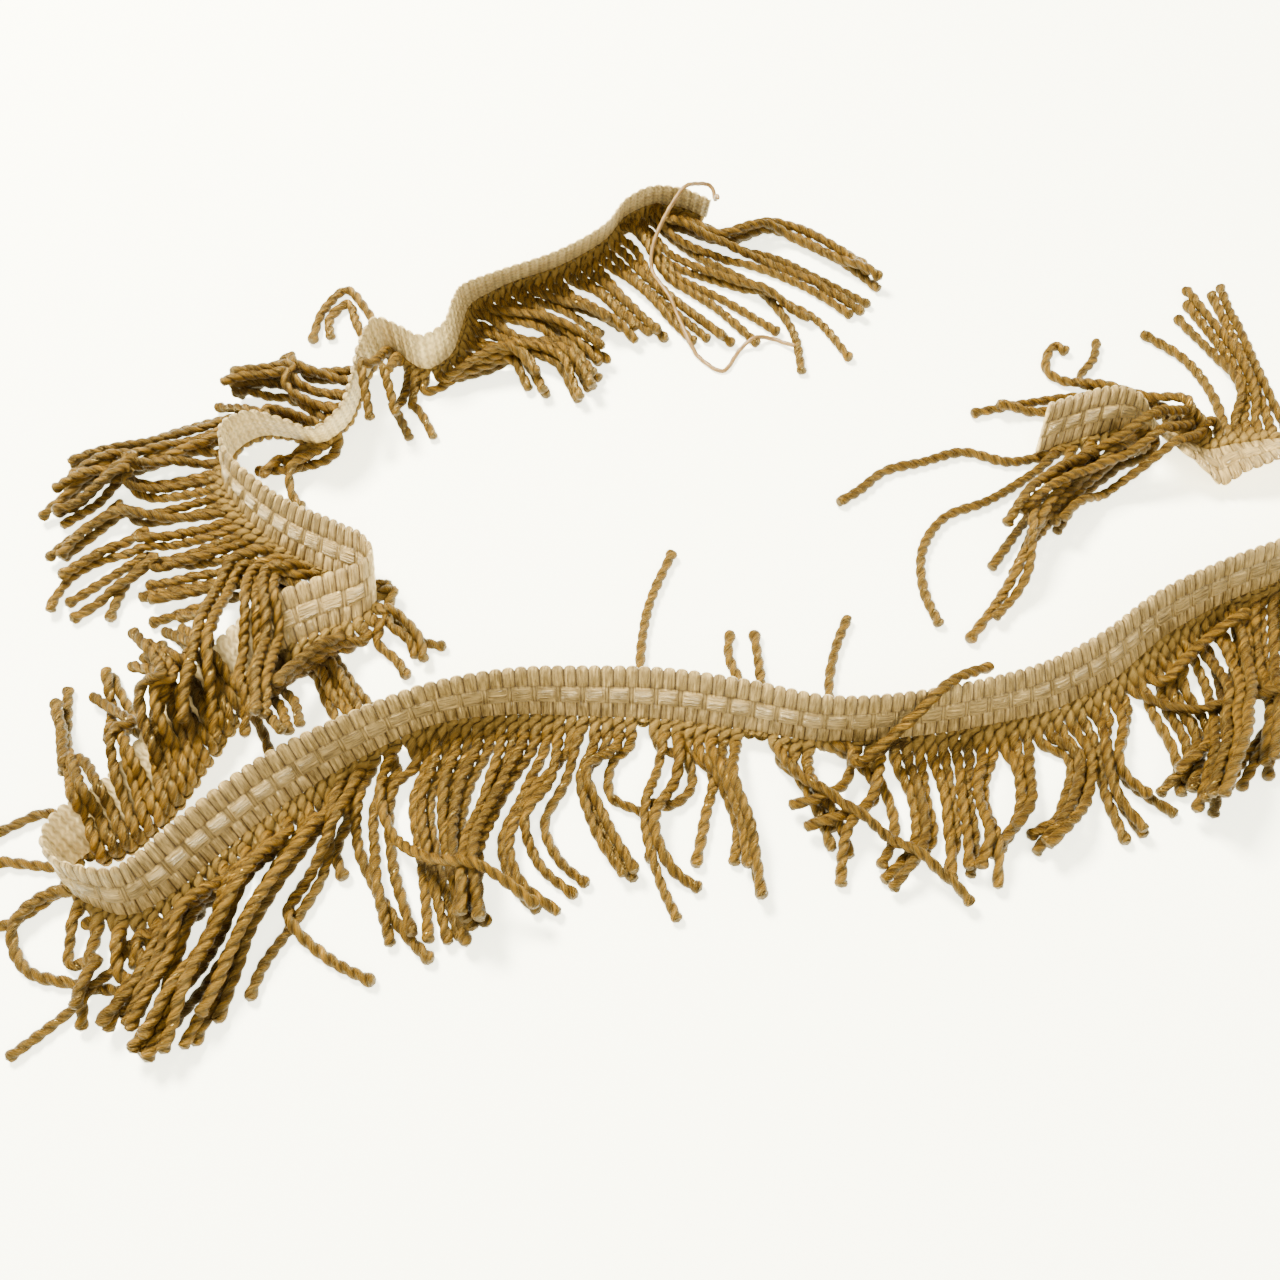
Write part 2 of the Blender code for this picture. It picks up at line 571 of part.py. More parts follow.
def strand_tube(strand, width, height, segments, strands_bed, tape_bed):
    """Lays one strand and returns its rings."""
    place, root, plan, passing, layer, i = strand
    along = np.append(0, np.linspace(FIRST_BEND, length_of(plan), segments + 1))
    run = np.concatenate([[0], np.cumsum(np.hypot(*np.diff(plan, axis=0).T))])
    corners = np.stack([np.interp(along, run, column) for column in plan.T], axis=1)
    bed = None if passing == 1 else tape_bed
    low = max(0.0, root[2] - height / 2)
    if passing == 2:
        heading = (corners[1] - corners[0]) / np.hypot(*(corners[1] - corners[0]))
        loop = [root[:2] - heading * LOOP_REACH * share for share in (0, 1, 0.9)]
        corners[0] = root[:2] + heading * 1.0
        heights, path, aside, level = lay_down(corners, low + LOOP_RISE, width, strands_bed, bed, 0.0)
        lifted = np.column_stack([corners, heights])
        turn = np.column_stack([loop, [low, low + 0.25 * LOOP_RISE, low + 0.8 * LOOP_RISE]])
        stamp(strands_bed, path, aside, level, width, height)
        behind = np.linspace(root[:2] - heading * (LOOP_REACH + height), root[:2], 12)
        beside = np.repeat(lateral(corners)[:1], 12, axis=0)
        stamp(strands_bed, behind, beside, np.full(12, low + LOOP_RISE), width, height)
        sides = np.concatenate([np.repeat(lateral(corners)[:1], 3, axis=0), lateral(corners)])
        return rings(np.concatenate([turn, lifted]), sides, width, height)
    heights, path, aside, level = lay_down(corners, low, width, strands_bed, bed, 4.0)
    stamp(strands_bed, path, aside, level, width, height)
    return rings(np.column_stack([corners, heights]), lateral(corners), width, height)


def laid_strands():
    """The rings of every strand by its number, with its place, and those of the thread."""
    strands_bed, tape_bed = HeightMap(), HeightMap()
    stamp_tape(tape_bed)
    laid = {}
    for strand in sorted(strands(), key=laying_order):
        made = strand_tube(strand, STRAND_WIDTH, STRAND_HEIGHT, SEGMENTS, strands_bed, tape_bed)
        laid[strand[5]] = (strand[0], made)
    _, plan = smooth(THREAD_ROUTE, 0.5)
    root = np.array([*plan[0], THREAD_START])
    thread = strand_tube((0, root, plan, 0, 9, -1), THREAD_WIDTH, THREAD_WIDTH, 14, strands_bed, tape_bed)
    return laid, thread


def snapped(place):
    """The place midway between two strands that is nearest to this one."""
    return PITCH * (0.25 + round(place / PITCH - 0.25))


def comb(row, laid, home, finish):
    """One node: a strip along the tape's lower edge, whose faces run on as its strands."""
    name, start, end = row
    first = snapped(start) + STRIP_PARTING / 2 if start else END_PARTING
    last = snapped(end) - STRIP_PARTING / 2 if end < STRETCHES[-1][2] else PLACES[-1] - END_PARTING
    hung = sorted(pair for pair in ((place, i) for i, (place, _) in laid.items()) if first < pair[0] < last)
    cuts = [first]
    for place, _ in hung:
        cuts += [place - STRAND_WIDTH / 2, place + STRAND_WIDTH / 2]
    cuts = np.array([*cuts, last])
    edge, across = tape_at(cuts)
    ahead = tape_at(cuts + 0.5)[0] - tape_at(cuts - 0.5)[0]
    normal = np.cross(across, ahead)
    normal *= STRIP_THICK / 2 / np.linalg.norm(normal, axis=1)[:, None]
    near, far = edge - STRIP_GAP * across, edge - (STRIP_GAP + STRIP_DEEP) * across
    corners = np.stack([near + normal, far + normal, far - normal, near - normal], axis=1)
    outward = np.stack([normal, -across, -normal], axis=1)
    outward /= np.linalg.norm(outward, axis=2)[:, :, None]
    points, faces = [corners.reshape(-1, 3)], [(0, 1, 2, 3)]
    faces.append(tuple(4 * len(cuts) - 4 + corner for corner in range(4)))
    held = 4 * len(cuts)
    for k in range(len(cuts) - 1):
        ring = laid[hung[k // 2][1]][1] if k % 2 else None
        open_side = 4
        if k % 2:
            first_run = ring[0].mean(axis=0)[:2] - corners[k:k + 2, 1:3, :2].mean(axis=(0, 1))
            open_side = int(np.argmax(outward[k, :, :2] @ first_run))
        for side in range(4):
            a, b = 4 * k + side, 4 * k + (side + 1) % 4
            if side != open_side:
                faces.append((a, a + 4, b + 4, b))
                continue
            upper = corners[k, side, 2] > corners[k, (side + 1) % 4, 2]
            if upper != (ring[0, 2, 2] > ring[0, :2, 2].mean()):
                a, b = b, a
            along = corners[k + 1, side, :2] - corners[k, side, :2]
            swap = along @ (ring[0, 1, :2] - ring[0, 0, :2]) > 0
            high_r, high_l, low_r, low_l = (a, a + 4, b, b + 4) if swap else (a + 4, a, b + 4, b)
            right, left, top = held, held + 1, held + 2
            faces += [(low_l, low_r, right, left), (low_l, left, top, high_l)]
            faces += [(low_r, high_r, top, right), (high_l, top, high_r)]
            for r in range(held, held + 3 * len(ring) - 3, 3):
                faces += [(r, r + 1, r + 4, r + 3), (r + 1, r + 2, r + 5, r + 4), (r + 2, r, r + 3, r + 5)]
            held += 3 * len(ring)
            faces.append((held - 3, held - 2, held - 1))
            points.append(ring.reshape(-1, 3))
    made = object_from(name, np.concatenate(points), faces, home, finish)
    return outside_out(made)


def outside_out(made):
    """Turns every face of a closed mesh outwards."""
    mesh = bmesh.new()
    mesh.from_mesh(made.data)
    bmesh.ops.recalc_face_normals(mesh, faces=mesh.faces)
    mesh.to_mesh(made.data)
    mesh.free()
    return made


def loose_thread(thread, home, finish):
    """The thread that has come off the tape's cut end, as a closed three-sided tube."""
    count = len(thread)
    faces = [(0, 1, 2), (3 * count - 3, 3 * count - 2, 3 * count - 1)]
    for r in range(0, 3 * count - 3, 3):
        faces += [(r, r + 1, r + 4, r + 3), (r + 1, r + 2, r + 5, r + 4), (r + 2, r, r + 3, r + 5)]
    return outside_out(object_from("loose_thread", thread.reshape(-1, 3), faces, home, finish))


def build():
    for old in list(bpy.data.objects):
        bpy.data.objects.remove(old)
    home = bpy.data.collections.new("cord_fringe_trim")
    bpy.context.scene.collection.children.link(home)
    woven = material("woven_header", TAPE_COLOUR, 0.45)
    twisted = material("twisted_cord", CORD_COLOUR, 0.5)
    band("header_tape", 0, PLACES[-1], 0, TAPE_WIDTH, TAPE_THICK, home, woven)
    laid, thread = laid_strands()
    for row in STRETCHES:
        comb(row, laid, home, twisted)
    loose_thread(thread, home, twisted)


build()
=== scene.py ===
"""The cord fringe trim: a narrow woven header tape with a fringe of twisted cords, lying loosely.

The header is one curve in plan with a lean of its own at every place. Its surface is the curve's
point, plus the lean times the distance across the tape, plus the face's normal times a relief of
ribs, floats and rows. Every cord is a smooth curve laid over what already lies there, and its
surface is that curve plus a ring of two joined circles that turns as it goes along: with a ply of
radius a whose centre is b from the axis, the outline at the angle p from the plies is
b |cos p| + sqrt(a^2 - b^2 sin^2 p), and the ring turns fully once in every twist.

Lengths are in millimetres up to the meshes, which are in metres."""

# %% [markdown]
# # A trim in one frame with its solids

# %% The frame and its solids
import math

import bpy
import numpy as np
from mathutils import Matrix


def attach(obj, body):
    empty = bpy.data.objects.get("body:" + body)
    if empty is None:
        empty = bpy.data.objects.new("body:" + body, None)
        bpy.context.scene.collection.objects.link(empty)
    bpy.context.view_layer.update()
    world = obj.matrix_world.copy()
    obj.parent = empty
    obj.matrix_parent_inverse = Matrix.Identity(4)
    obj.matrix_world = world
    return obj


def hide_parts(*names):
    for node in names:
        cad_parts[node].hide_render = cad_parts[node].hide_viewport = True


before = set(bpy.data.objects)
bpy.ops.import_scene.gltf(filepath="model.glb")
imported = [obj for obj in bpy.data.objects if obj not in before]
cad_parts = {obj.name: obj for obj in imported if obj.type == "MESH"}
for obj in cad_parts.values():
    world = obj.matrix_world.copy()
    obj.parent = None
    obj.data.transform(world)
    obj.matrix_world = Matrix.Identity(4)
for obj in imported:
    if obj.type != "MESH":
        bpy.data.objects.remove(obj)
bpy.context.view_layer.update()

# %% [markdown]
# ## The camera
# It looks down at 60 degrees from 297 mm, and its picture is 1280 pixels square with a focal
# length of 1300 pixels. The tables below have an origin of their own, under the picture's middle,
# and MIDDLE is where the frame's origin lies in them.

# %% The camera
MM = 0.001
MIDDLE = (31.7, 22.5)
ELEVATION, DISTANCE, FOCAL, PICTURE = math.radians(60), 297.0, 1300.0, 1280
SENSOR = 36.0

camera = bpy.data.objects.new("camera", bpy.data.cameras.new("camera"))
bpy.context.scene.collection.objects.link(camera)
camera.location = (-MIDDLE[0] * MM, (-MIDDLE[1] - DISTANCE * math.cos(ELEVATION)) * MM,
                   DISTANCE * math.sin(ELEVATION) * MM)
camera.rotation_euler = (math.pi / 2 - ELEVATION, 0, 0)
camera.data.sensor_width = SENSOR
camera.data.lens = SENSOR * FOCAL / PICTURE
camera.data.clip_start, camera.data.clip_end = 0.01, 10
bpy.context.scene.camera = camera
print("camera at", tuple(round(x, 4) for x in camera.location))

# %% [markdown]
# ## The trim's tables
# They are the ones that the solids are built from: where the tape runs, where each lock of cords
# ends, and the single cords that leave the locks.

# %% Sizes
TAPE_WIDTH = 12.0
# The cord edge's height where the tape lies flat, and how much higher it is where the tape stands
EDGE_LOW, EDGE_RISE = 1.4, 2.4
# From one rib and cord to the next, and how far below the edge a cord's root lies in plan
PITCH, ROOT_DROP = 2.6, 1.6
# A cord's length, its scatter, and the most that it may be longer than the way to its tip
STRAND_LENGTH, LENGTH_SPREAD, MOST_SLACK = 52.0, 3.0, 1.15
# How far a cord with points on its way first runs square to the tape
FIRST_BEND = 5.0
# The scatter of tips in mm and of their headings in degrees
TIP_SCATTER, TURN_SCATTER = 1.6, 14.0
SEED = 11
# How a cord passes the tape: beside it, under its lean, or turned back over it
BESIDE, UNDER, TURNED_BACK = 0, 1, 2
print(f"a rib and a cord every {PITCH} mm on a tape {TAPE_WIDTH} mm wide")

# %% Tables
# The tape, from the end at the back to the end at the right. Each row is a place on it:
# x and y of its cord edge, then how far its scalloped edge leans from there in x and y.
TAPE = (
    # x, y, lean_x, lean_y
    (18.5, 133.5, 0.5, -5.5),
    (11.5, 137.8, 0.3, -5.5),
    (3.5, 138.9, 0.0, -5.5),
    (-3.5, 135.0, 0.5, -5.7),
    (-9.8, 125.2, 1.2, -5.5),
    (-20.9, 116.0, 1.0, -5.7),
    (-38.0, 107.0, 0.6, -5.5),
    (-45.2, 100.5, 0.3, -4.0),
    (-47.2, 91.0, 0.0, -0.5),
    (-49.5, 82.0, 0.0, -0.5),
    (-54.5, 78.0, 0.0, 0.0),
    (-60.5, 81.5, 0.0, 0.0),
    (-65.5, 84.0, -1.0, 0.0),
    (-68.6, 79.0, -0.5, -2.0),
    (-70.8, 69.0, 0.5, -4.0),
    (-73.5, 59.5, 1.0, -4.5),
    (-79.0, 54.5, 0.8, -5.0),
    (-86.0, 56.0, 0.5, -4.0),
    (-93.5, 56.5, 0.0, -2.5),
    (-99.5, 51.5, 0.5, -1.0),
    (-100.5, 43.0, 2.8, 0.5),
    (-94.0, 32.5, 5.0, 2.2),
    (-82.5, 22.3, 4.0, 5.6),
    (-70.0, 15.4, 1.5, 8.8),
    (-63.8, 12.6, 0.3, 8.4),
    (-60.8, 8.5, 0.0, 7.6),
    (-63.8, 4.4, -0.3, 8.4),
    (-70.0, 1.6, -1.5, 9.5),
    (-79.0, -3.5, -4.0, 9.0),
    (-88.0, -15.0, -6.5, 8.0),
    (-95.5, -30.0, -8.5, 6.5),
    (-101.5, -42.5, -8.5, 6.0),
    (-107.5, -49.0, -7.0, 6.0),
    (-112.8, -52.0, -4.6, 4.2),
    (-116.2, -56.0, -2.2, 2.6),
    (-114.4, -60.6, -1.4, 3.0),
    (-108.8, -64.0, -0.6, 4.2),
    (-102.5, -65.6, -1.4, 5.6),
    (-96.0, -62.2, -4.0, 5.0),
    (-88.4, -54.6, -5.2, 5.0),
    (-74.8, -41.9, -4.5, 5.6),
    (-58.9, -30.5, -2.6, 3.8),
    (-45.0, -23.2, -1.2, 3.2),
    (-28.5, -20.7, -0.2, 5.0),
    (-12.0, -21.1, 0.0, 6.6),
    (6.0, -21.9, 0.6, 7.0),
    (22.2, -24.2, 1.0, 6.2),
    (40.0, -27.1, 0.3, 4.9),
    (58.0, -26.0, -0.5, 4.8),
    (74.0, -23.5, -1.0, 5.6),
    (90.0, -19.5, -2.8, 6.4),
    (104.5, -12.0, -4.0, 6.2),
    (118.0, -1.0, -3.6, 5.2),
    (134.0, 8.2, -2.4, 4.4),
    (149.0, 14.5, -2.0, 4.2),
    (163.0, 21.5, -2.5, 3.5),
    (172.5, 32.0, -3.0, 0.5),
    (171.5, 46.5, -3.0, -4.0),
    (160.0, 55.0, -2.0, -9.0),
    (148.0, 54.5, -1.0, -11.0),
    (138.5, 53.5, -0.8, -11.4),
    (132.5, 57.0, -6.0, -7.0),
    (122.5, 59.0, -2.0, 0.5),
    (110.0, 56.0, 1.5, 7.0),
    (97.5, 51.5, 2.0, 7.5),
)

# Where the strands' ends lie. Each row is a lock of strands: the stretch of tape that it hangs
# from, the ends of its first and last strands, the turn in degrees of the ends from the straight
# line, how it passes the tape (0 beside it, 1 under its lean, 2 turned back over it), and its layer.
LOCKS = (
    # from, to, x0, y0, x1, y1, turn, passing, layer
    (0, 10, 63, 115, 64, 109, 0, 1, 1),
    (10, 22, 62, 103, 60, 96, 0, 1, 1),
    (22, 32, 48, 96, 30, 88, 0, 1, 2),
    (32, 42, 26, 89, 14, 87, 0, 1, 2),
    (42, 52, 8, 91, 2, 89, 0, 1, 2),
    (52, 66, 0, 91, -8, 90, 0, 1, 1),
    (66, 80, -9, 86, -10, 77, 0, 1, 1),
    (80, 96, -11, 74, -14, 68, 0, 1, 2),
    (96, 107, -19, 70, -29, 71, 0, 1, 2),
    (107, 117, -49, 57, -66, 56, 10, 0, 2),
    (117, 124, -80, 92, -85, 87, 60, 0, 2),
    (124, 146, -102, 74, -108, 68, 20, 0, 2),
    (146, 157, -96, 50, -92, 40, 0, 1, 1),
    (157, 171, -138, 50, -143, 40, 0, 0, 1),
    (171, 184, -143, 36, -141, 30, 15, 0, 1),
    (184, 196, -139, 22, -134, 16, 20, 0, 2),
    (196, 205, -137, 8, -124, 5, 10, 0, 1),
    (205, 212, -97, -26, -90, -30, 0, 0, 3),
    (212, 221, -86, -28, -78, -30, 0, 0, 4),
    (221, 231, -120, 15, -114, 7, 0, 1, 0),
    (231, 235, -44, -4, -46, -7, 0, 1, 1),
    (235, 242, -46, -7, -51, -13, 0, 1, 2),
    (242, 250, -78, -17, -80, -22, 0, 0, 3),
    (250, 262, -56, -20, -64, -26, 0, 0, 1),
    (262, 274, -66, -28, -80, -35, 0, 0, 1),
    (274, 290, -104, 4, -112, -4, 25, 2, 1),
    (290, 304, -104, -10, -111, -8, 20, 2, 1),
    (304, 320, -116, -8, -131, -18, 10, 2, 1),
    (320, 327, -146, -55, -137, -80, 30, 1, 1),
    (327, 343, -112, -90, -104, -87, -10, 0, 1),
    (343, 352, -99, -79, -93, -80, 0, 0, 0),
    (352, 366, -102, -87, -97, -91, 0, 0, 1),
    (366, 381, -97, -92, -92, -95, 0, 0, 2),
    (381, 393, -89, -91, -85, -86, 0, 0, 1),
    (393, 411, -56, -73, -44, -73, 0, 0, 1),
    (411, 420, -44, -74, -32, -70, 0, 0, 1),
    (420, 429, -33, -70, -29, -72, 0, 0, 2),
    (429, 440, -38, -66, -30, -68, 0, 0, 3),
    (440, 450, -20, -64, -18, -65, 0, 0, 1),
    (450, 458, -3, -60, 0, -58, 0, 0, 2),
    (458, 468, 3, -57, 7, -58, 0, 0, 1),
    (468, 474, 8, -56, 10, -57, 0, 0, 1),
    (474, 484, 20, -57, 28, -65, 0, 0, 2),
    (484, 490, 33, -53, 37, -57, 0, 0, 1),
    (490, 500, 37, -48, 46, -52, 0, 0, 2),
    (500, 508, 35, -46, 40, -50, 0, 0, 1),
    (508, 516, 44, -53, 47, -56, 0, 0, 2),
    (516, 524, 46, -59, 53, -58, 0, 0, 1),
    (524, 538, 62, -56, 72, -62, 0, 0, 2),
    (538, 546, 70, -55, 76, -53, 0, 0, 1),
    (546, 556, 77, -54, 83, -50, 0, 0, 2),
    (556, 566, 102, -54, 107, -47, 0, 0, 1),
    (566, 573, 108, -41, 115, -47, 0, 0, 2),
    (573, 588, 118, -41, 110, -37, 0, 0, 1),
    (588, 607, 116, -45, 122, -40, 25, 0, 3),
    (607, 626, 125, -38, 142, -32, -20, 0, 1),
    (626, 645, 152, -30, 182, -17, 10, 0, 2),
    (645, 662, 200, 0, 216, 32, 15, 0, 1),
    (662, 680, 214, 60, 186, 97, 20, 0, 2),
    (680, 692, 157, 112, 141, 102, 0, 0, 1),
    (692, 703, 133, 93, 127, 85, 0, 0, 2),
    (703, 714, 80, 64, 92, 64, 0, 0, 3),
    (714, 724, 100, 30, 90, 22, 0, 1, 2),
    (724, 736, 88, 16, 80, 18, 0, 1, 1),
    (736, 746, 74, 20, 58, 28, 0, 1, 2),
)

# Points that all strands of a lock pass by on their way, by the start of the lock
WAYS = {
    # start: (x, y of the first strand, x, y of the last strand), ...
    0: ((23, 127, 21, 124), (42, 134, 37, 128), (56, 124, 52, 119)),
    10: ((21, 125, 9, 121), (38, 122, 26, 114), (52, 112, 42, 106)),
    22: ((13, 117, 5, 113), (30, 108, 18, 101)),
    32: ((4, 113, -2, 109),),
    42: ((-5, 108, -11, 105),),
    52: ((-15, 104, -23, 101),),
    66: ((-25, 98, -31, 95),),
    80: ((-31, 90, -35, 84), (-19, 87, -22, 80)),
    96: ((-40, 80, -45, 77), (-29, 82, -34, 80)),
    157: ((-93, 66, -103, 57), (-108, 63, -113, 50)),
    205: ((-95, 20, -90, 17), (-98, 6, -92, 4), (-98, -10, -91, -12)),
    212: ((-88, 15, -81, 13), (-88, 2, -80, 0), (-87, -14, -79, -14)),
    221: ((-86, 17, -84, 12),),
    231: ((-56, 6, -57, 4), (-49, 1, -51, -2)),
    235: ((-57, 4, -60, -1), (-51, -2, -55, -7)),
    242: ((-65, -3, -70, -6), (-72, -9, -75, -13)),
    250: ((-67, -6, -75, -9), (-62, -13, -69, -17)),
    262: ((-77, -12, -85, -19), (-71, -20, -83, -27)),
    343: ((-103, -71, -96, -69),),
    352: ((-95, -70, -88, -64), (-98, -79, -91, -77)),
    366: ((-83, -60, -75, -54), (-88, -75, -83, -71)),
    381: ((-73, -52, -66, -47), (-79, -68, -75, -64)),
    393: ((-63, -44, -52, -38), (-62, -56, -51, -52)),
    411: ((-49, -40, -43, -40), (-46, -55, -40, -55)),
    420: ((-42, -37, -36, -37), (-40, -52, -37, -54)),
    429: ((-33, -36, -27, -36), (-36, -50, -32, -52)),
    440: ((-25, -38, -21, -38), (-29, -51, -26, -51), (-26, -59, -23, -59)),
    450: ((-13, -36, -11, -34), (-11, -46, -7, -44)),
    458: ((-6, -31, -3, -30), (-7, -39, -2, -39), (1, -44, 5, -43)),
    468: ((13, -33, 16, -33), (13, -44, 14, -44)),
    474: ((16, -35, 20, -36), (20, -46, 23, -47)),
    484: ((24, -37, 27, -38), (27, -46, 30, -47)),
    490: ((31, -34, 37, -36), (34, -41, 42, -44)),
    500: ((43, -34, 48, -34), (42, -41, 46, -43)),
    508: ((50, -38, 55, -38), (52, -47, 55, -48)),
    516: ((57, -38, 62, -38), (57, -49, 62, -50)),
    524: ((64, -38, 74, -36), (64, -48, 74, -50)),
    538: ((79, -33, 84, -31), (79, -43, 82, -42)),
    546: ((91, -30, 97, -30), (88, -42, 94, -41)),
    556: ((98, -27, 102, -26), (98, -38, 102, -37)),
    566: ((105, -23, 108, -22), (102, -33, 105, -33)),
    573: ((112, -18, 121, -12), (115, -29, 124, -25)),
    588: ((125, -13, 137, -5), (122, -29, 130, -23)),
    680: ((160, 71, 152, 71),),
    692: ((147, 70, 142, 68), (143, 83, 135, 80)),
    703: ((131, 67, 125, 64), (118, 71, 112, 67), (98, 69, 102, 65)),
    714: ((118, 48, 112, 47), (108, 40, 103, 38)),
    724: ((108, 45, 100, 44), (98, 32, 90, 32)),
    736: ((93, 44, 86, 48), (82, 33, 70, 41)),
}

# To which side of the tape the strands hang, walking along it: 1 is left, -1 is right
SIDES = (
    # up to, side
    (117, 1),
    (146, -1),
    (157, 1),
    (231, -1),
    (320, 1),
    (714, -1),
    (750, 1),
)

# Single strands that leave the locks: their place on the tape, how they pass it, their layer,
# and the points that they run through.
STRAYS = (
    (20, 1, 0, ((14, 122), (32, 108), (40, 94), (42, 77))),
    (25, 1, 0, ((8, 118), (28, 108), (46, 98), (55, 83))),
    (118, 0, 3, ((-73, 101), (-79, 108), (-84, 101), (-86, 88))),
    (121, 0, 3, ((-75, 96), (-78, 103), (-82, 98), (-81, 90))),
    (149, 1, 1, ((-80, 51), (-85, 45), (-84, 39), (-81, 36))),
    (239, 1, 3, ((-56, 5), (-50, -1), (-48, -9))),
    (322, 1, 1, ((-119, -46), (-125, -43), (-132, -46), (-140, -51), (-150, -58))),
    (329, 0, 1, ((-121, -62), (-126, -69), (-122, -76), (-112, -79), (-98, -81))),
    (334, 0, 0, ((-109, -66), (-114, -67))),
    (340, 0, 1, ((-103, -74), (-107, -80), (-114, -87), (-122, -94))),
    (394, 0, 2, ((-64, -45), (-65, -56), (-70, -67), (-75, -76), (-77, -84))),
    (397, 0, 1, ((-61, -43), (-63, -52), (-60, -59))),
    (399, 0, 3, ((-62, -44), (-66, -54), (-71, -65), (-62, -74), (-52, -79))),
    (402, 0, 1, ((-59, -39), (-59, -49), (-55, -58), (-48, -68), (-40, -76))),
    (407, 0, 4, ((-55, -38), (-51, -49), (-42, -56), (-31, -59), (-20, -65))),
    (445, 0, 3, ((-19, -36), (-24, -46), (-21, -54), (-12, -62))),
    (448, 0, 3, ((-16, -36), (-20, -46), (-17, -53), (-9, -60))),
    (462, 1, 0, ((0, -8), (2, 8), (8, 24))),
    (464, 0, 2, ((4, -27), (10, -31), (11, -37), (7, -41), (1, -41))),
    (467, 0, 2, ((4, -32), (1, -43), (3, -55), (8, -67))),
    (470, 0, 3, ((8, -34), (3, -46), (6, -55), (13, -60))),
    (486, 1, 0, ((23, -14), (20, -4), (21, 3))),
    (489, 1, 0, ((27, -12), (26, 2))),
    (492, 0, 4, ((32, -34), (41, -42), (52, -50), (61, -57), (68, -64))),
    (500, 0, 3, ((45, -30), (44, -36), (38, -41), (31, -42))),
    (503, 0, 2, ((47, -32), (50, -39), (44, -44), (34, -47))),
    (506, 1, 0, ((42, -14), (44, -4), (48, 6))),
    (510, 0, 4, ((45, -33), (56, -27), (66, -19), (77, -12))),
    (513, 0, 3, ((49, -40), (43, -48), (41, -61))),
    (572, 0, 3, ((110, -15), (119, -20), (130, -19), (142, -17))),
    (577, 0, 4, ((115, -13), (121, -8), (128, -2), (138, 4))),
    (695, 0, 5, ((143, 60), (135, 53), (123, 45), (112, 39), (103, 33), (98, 27))),
    (698, 0, 5, ((140, 60), (132, 55), (120, 48), (108, 42), (97, 36), (88, 28))),
    (701, 0, 5, ((137, 60), (129, 57), (117, 51), (105, 45), (94, 37), (84, 24))),
    (706, 0, 5, ((134, 64), (125, 68), (114, 73), (105, 80), (109, 88), (112, 85))),
    (709, 0, 5, ((130, 66), (119, 70), (113, 76), (118, 84), (120, 91))),
    (730, 1, 3, ((107, 46), (96, 32), (86, 14), (74, -2))),
    (734, 1, 3, ((102, 44), (92, 30), (89, 14), (80, 3))),
    (738, 1, 3, ((96, 46), (84, 38), (73, 33), (67, 24), (66, 13), (69, 2))),
    (741, 1, 3, ((93, 47), (80, 42), (68, 36), (60, 29), (52, 24))),
    (743, 1, 3, ((91, 50), (80, 53), (70, 50), (60, 47), (53, 41), (47, 37))),
)

# The loose thread, which springs from the tape's cut end and lies over the cords
THREAD_ROUTE = ((21, 128), (19.5, 138), (10, 130), (3, 116), (9, 100), (16, 84), (21, 80), (27, 88),
                (34, 91), (42, 86))

# The stretches of cords, each named as the solid that it stands for
STRETCHES = (
    # name, up to
    ("fringe_top_end", 52),
    ("fringe_top_run", 117),
    ("fringe_bend", 171),
    ("fringe_curl", 221),
    ("fringe_hairpin", 274),
    ("fringe_turned_over", 320),
    ("fringe_left_curl", 383),
    ("fringe_front_left", 451),
    ("fringe_front_middle", 521),
    ("fringe_front_right", 588),
    ("fringe_right_edge", 645),
    ("fringe_return", 703),
    ("fringe_right_end", 750),
)
print(len(TAPE), "places on the tape,", len(LOCKS), "locks,", len(STRAYS), "single cords")

# %% [markdown]
# ## Curves
# One function smooths any table of points into an evenly read curve. The tape's own curve then
# gives the cord edge, the direction across it and its two faces' normals at any place.

# %% Smooth curves


def unit(vectors):
    """The vectors, each divided by its length."""
    return vectors / np.linalg.norm(vectors, axis=-1, keepdims=True)


def distances(points):
    """How far along a row of points each of them lies."""
    return np.concatenate([[0], np.cumsum(np.linalg.norm(np.diff(points, axis=0), axis=1))])


def even_curve(rows, step, columns=3, density=16):
    """A smooth curve through rows of numbers, read at even distances along its first columns.
    Between two rows p and q, a run h apart, it is the cubic with the mean slopes m and n there:
    (2w^3 - 3w^2 + 1) p + (w^3 - 2w^2 + w) h m + (3w^2 - 2w^3) q + (w^3 - w^2) h n, w from 0 to 1."""
    rows = np.array(rows, float)
    along = distances(rows[:, :columns])
    slopes = np.gradient(rows, along, axis=0)
    fine = np.linspace(0, along[-1], density * len(rows))
    k = np.clip(np.searchsorted(along, fine, side="right") - 1, 0, len(rows) - 2)
    run = (along[k + 1] - along[k])[:, None]
    w = (fine - along[k])[:, None] / run
    curve = (2 * w**3 - 3 * w**2 + 1) * rows[k] + (w**3 - 2 * w**2 + w) * run * slopes[k]
    curve += (3 * w**2 - 2 * w**3) * rows[k + 1] + (w**3 - w**2) * run * slopes[k + 1]
    length = distances(curve[:, :columns])
    places = np.linspace(0, length[-1], max(4, round(length[-1] / step) + 1))
    return places, np.stack([np.interp(places, length, column) for column in curve.T], axis=1)


def plan_curve(rows, step=0.5):
    """A smooth curve that is read at even distances in plan."""
    return even_curve(rows, step, columns=2, density=48)


PLACES, TAPE_CURVE = plan_curve(TAPE)
print(f"the trim is {PLACES[-1]:.0f} mm long")

# %% The tape's own frame


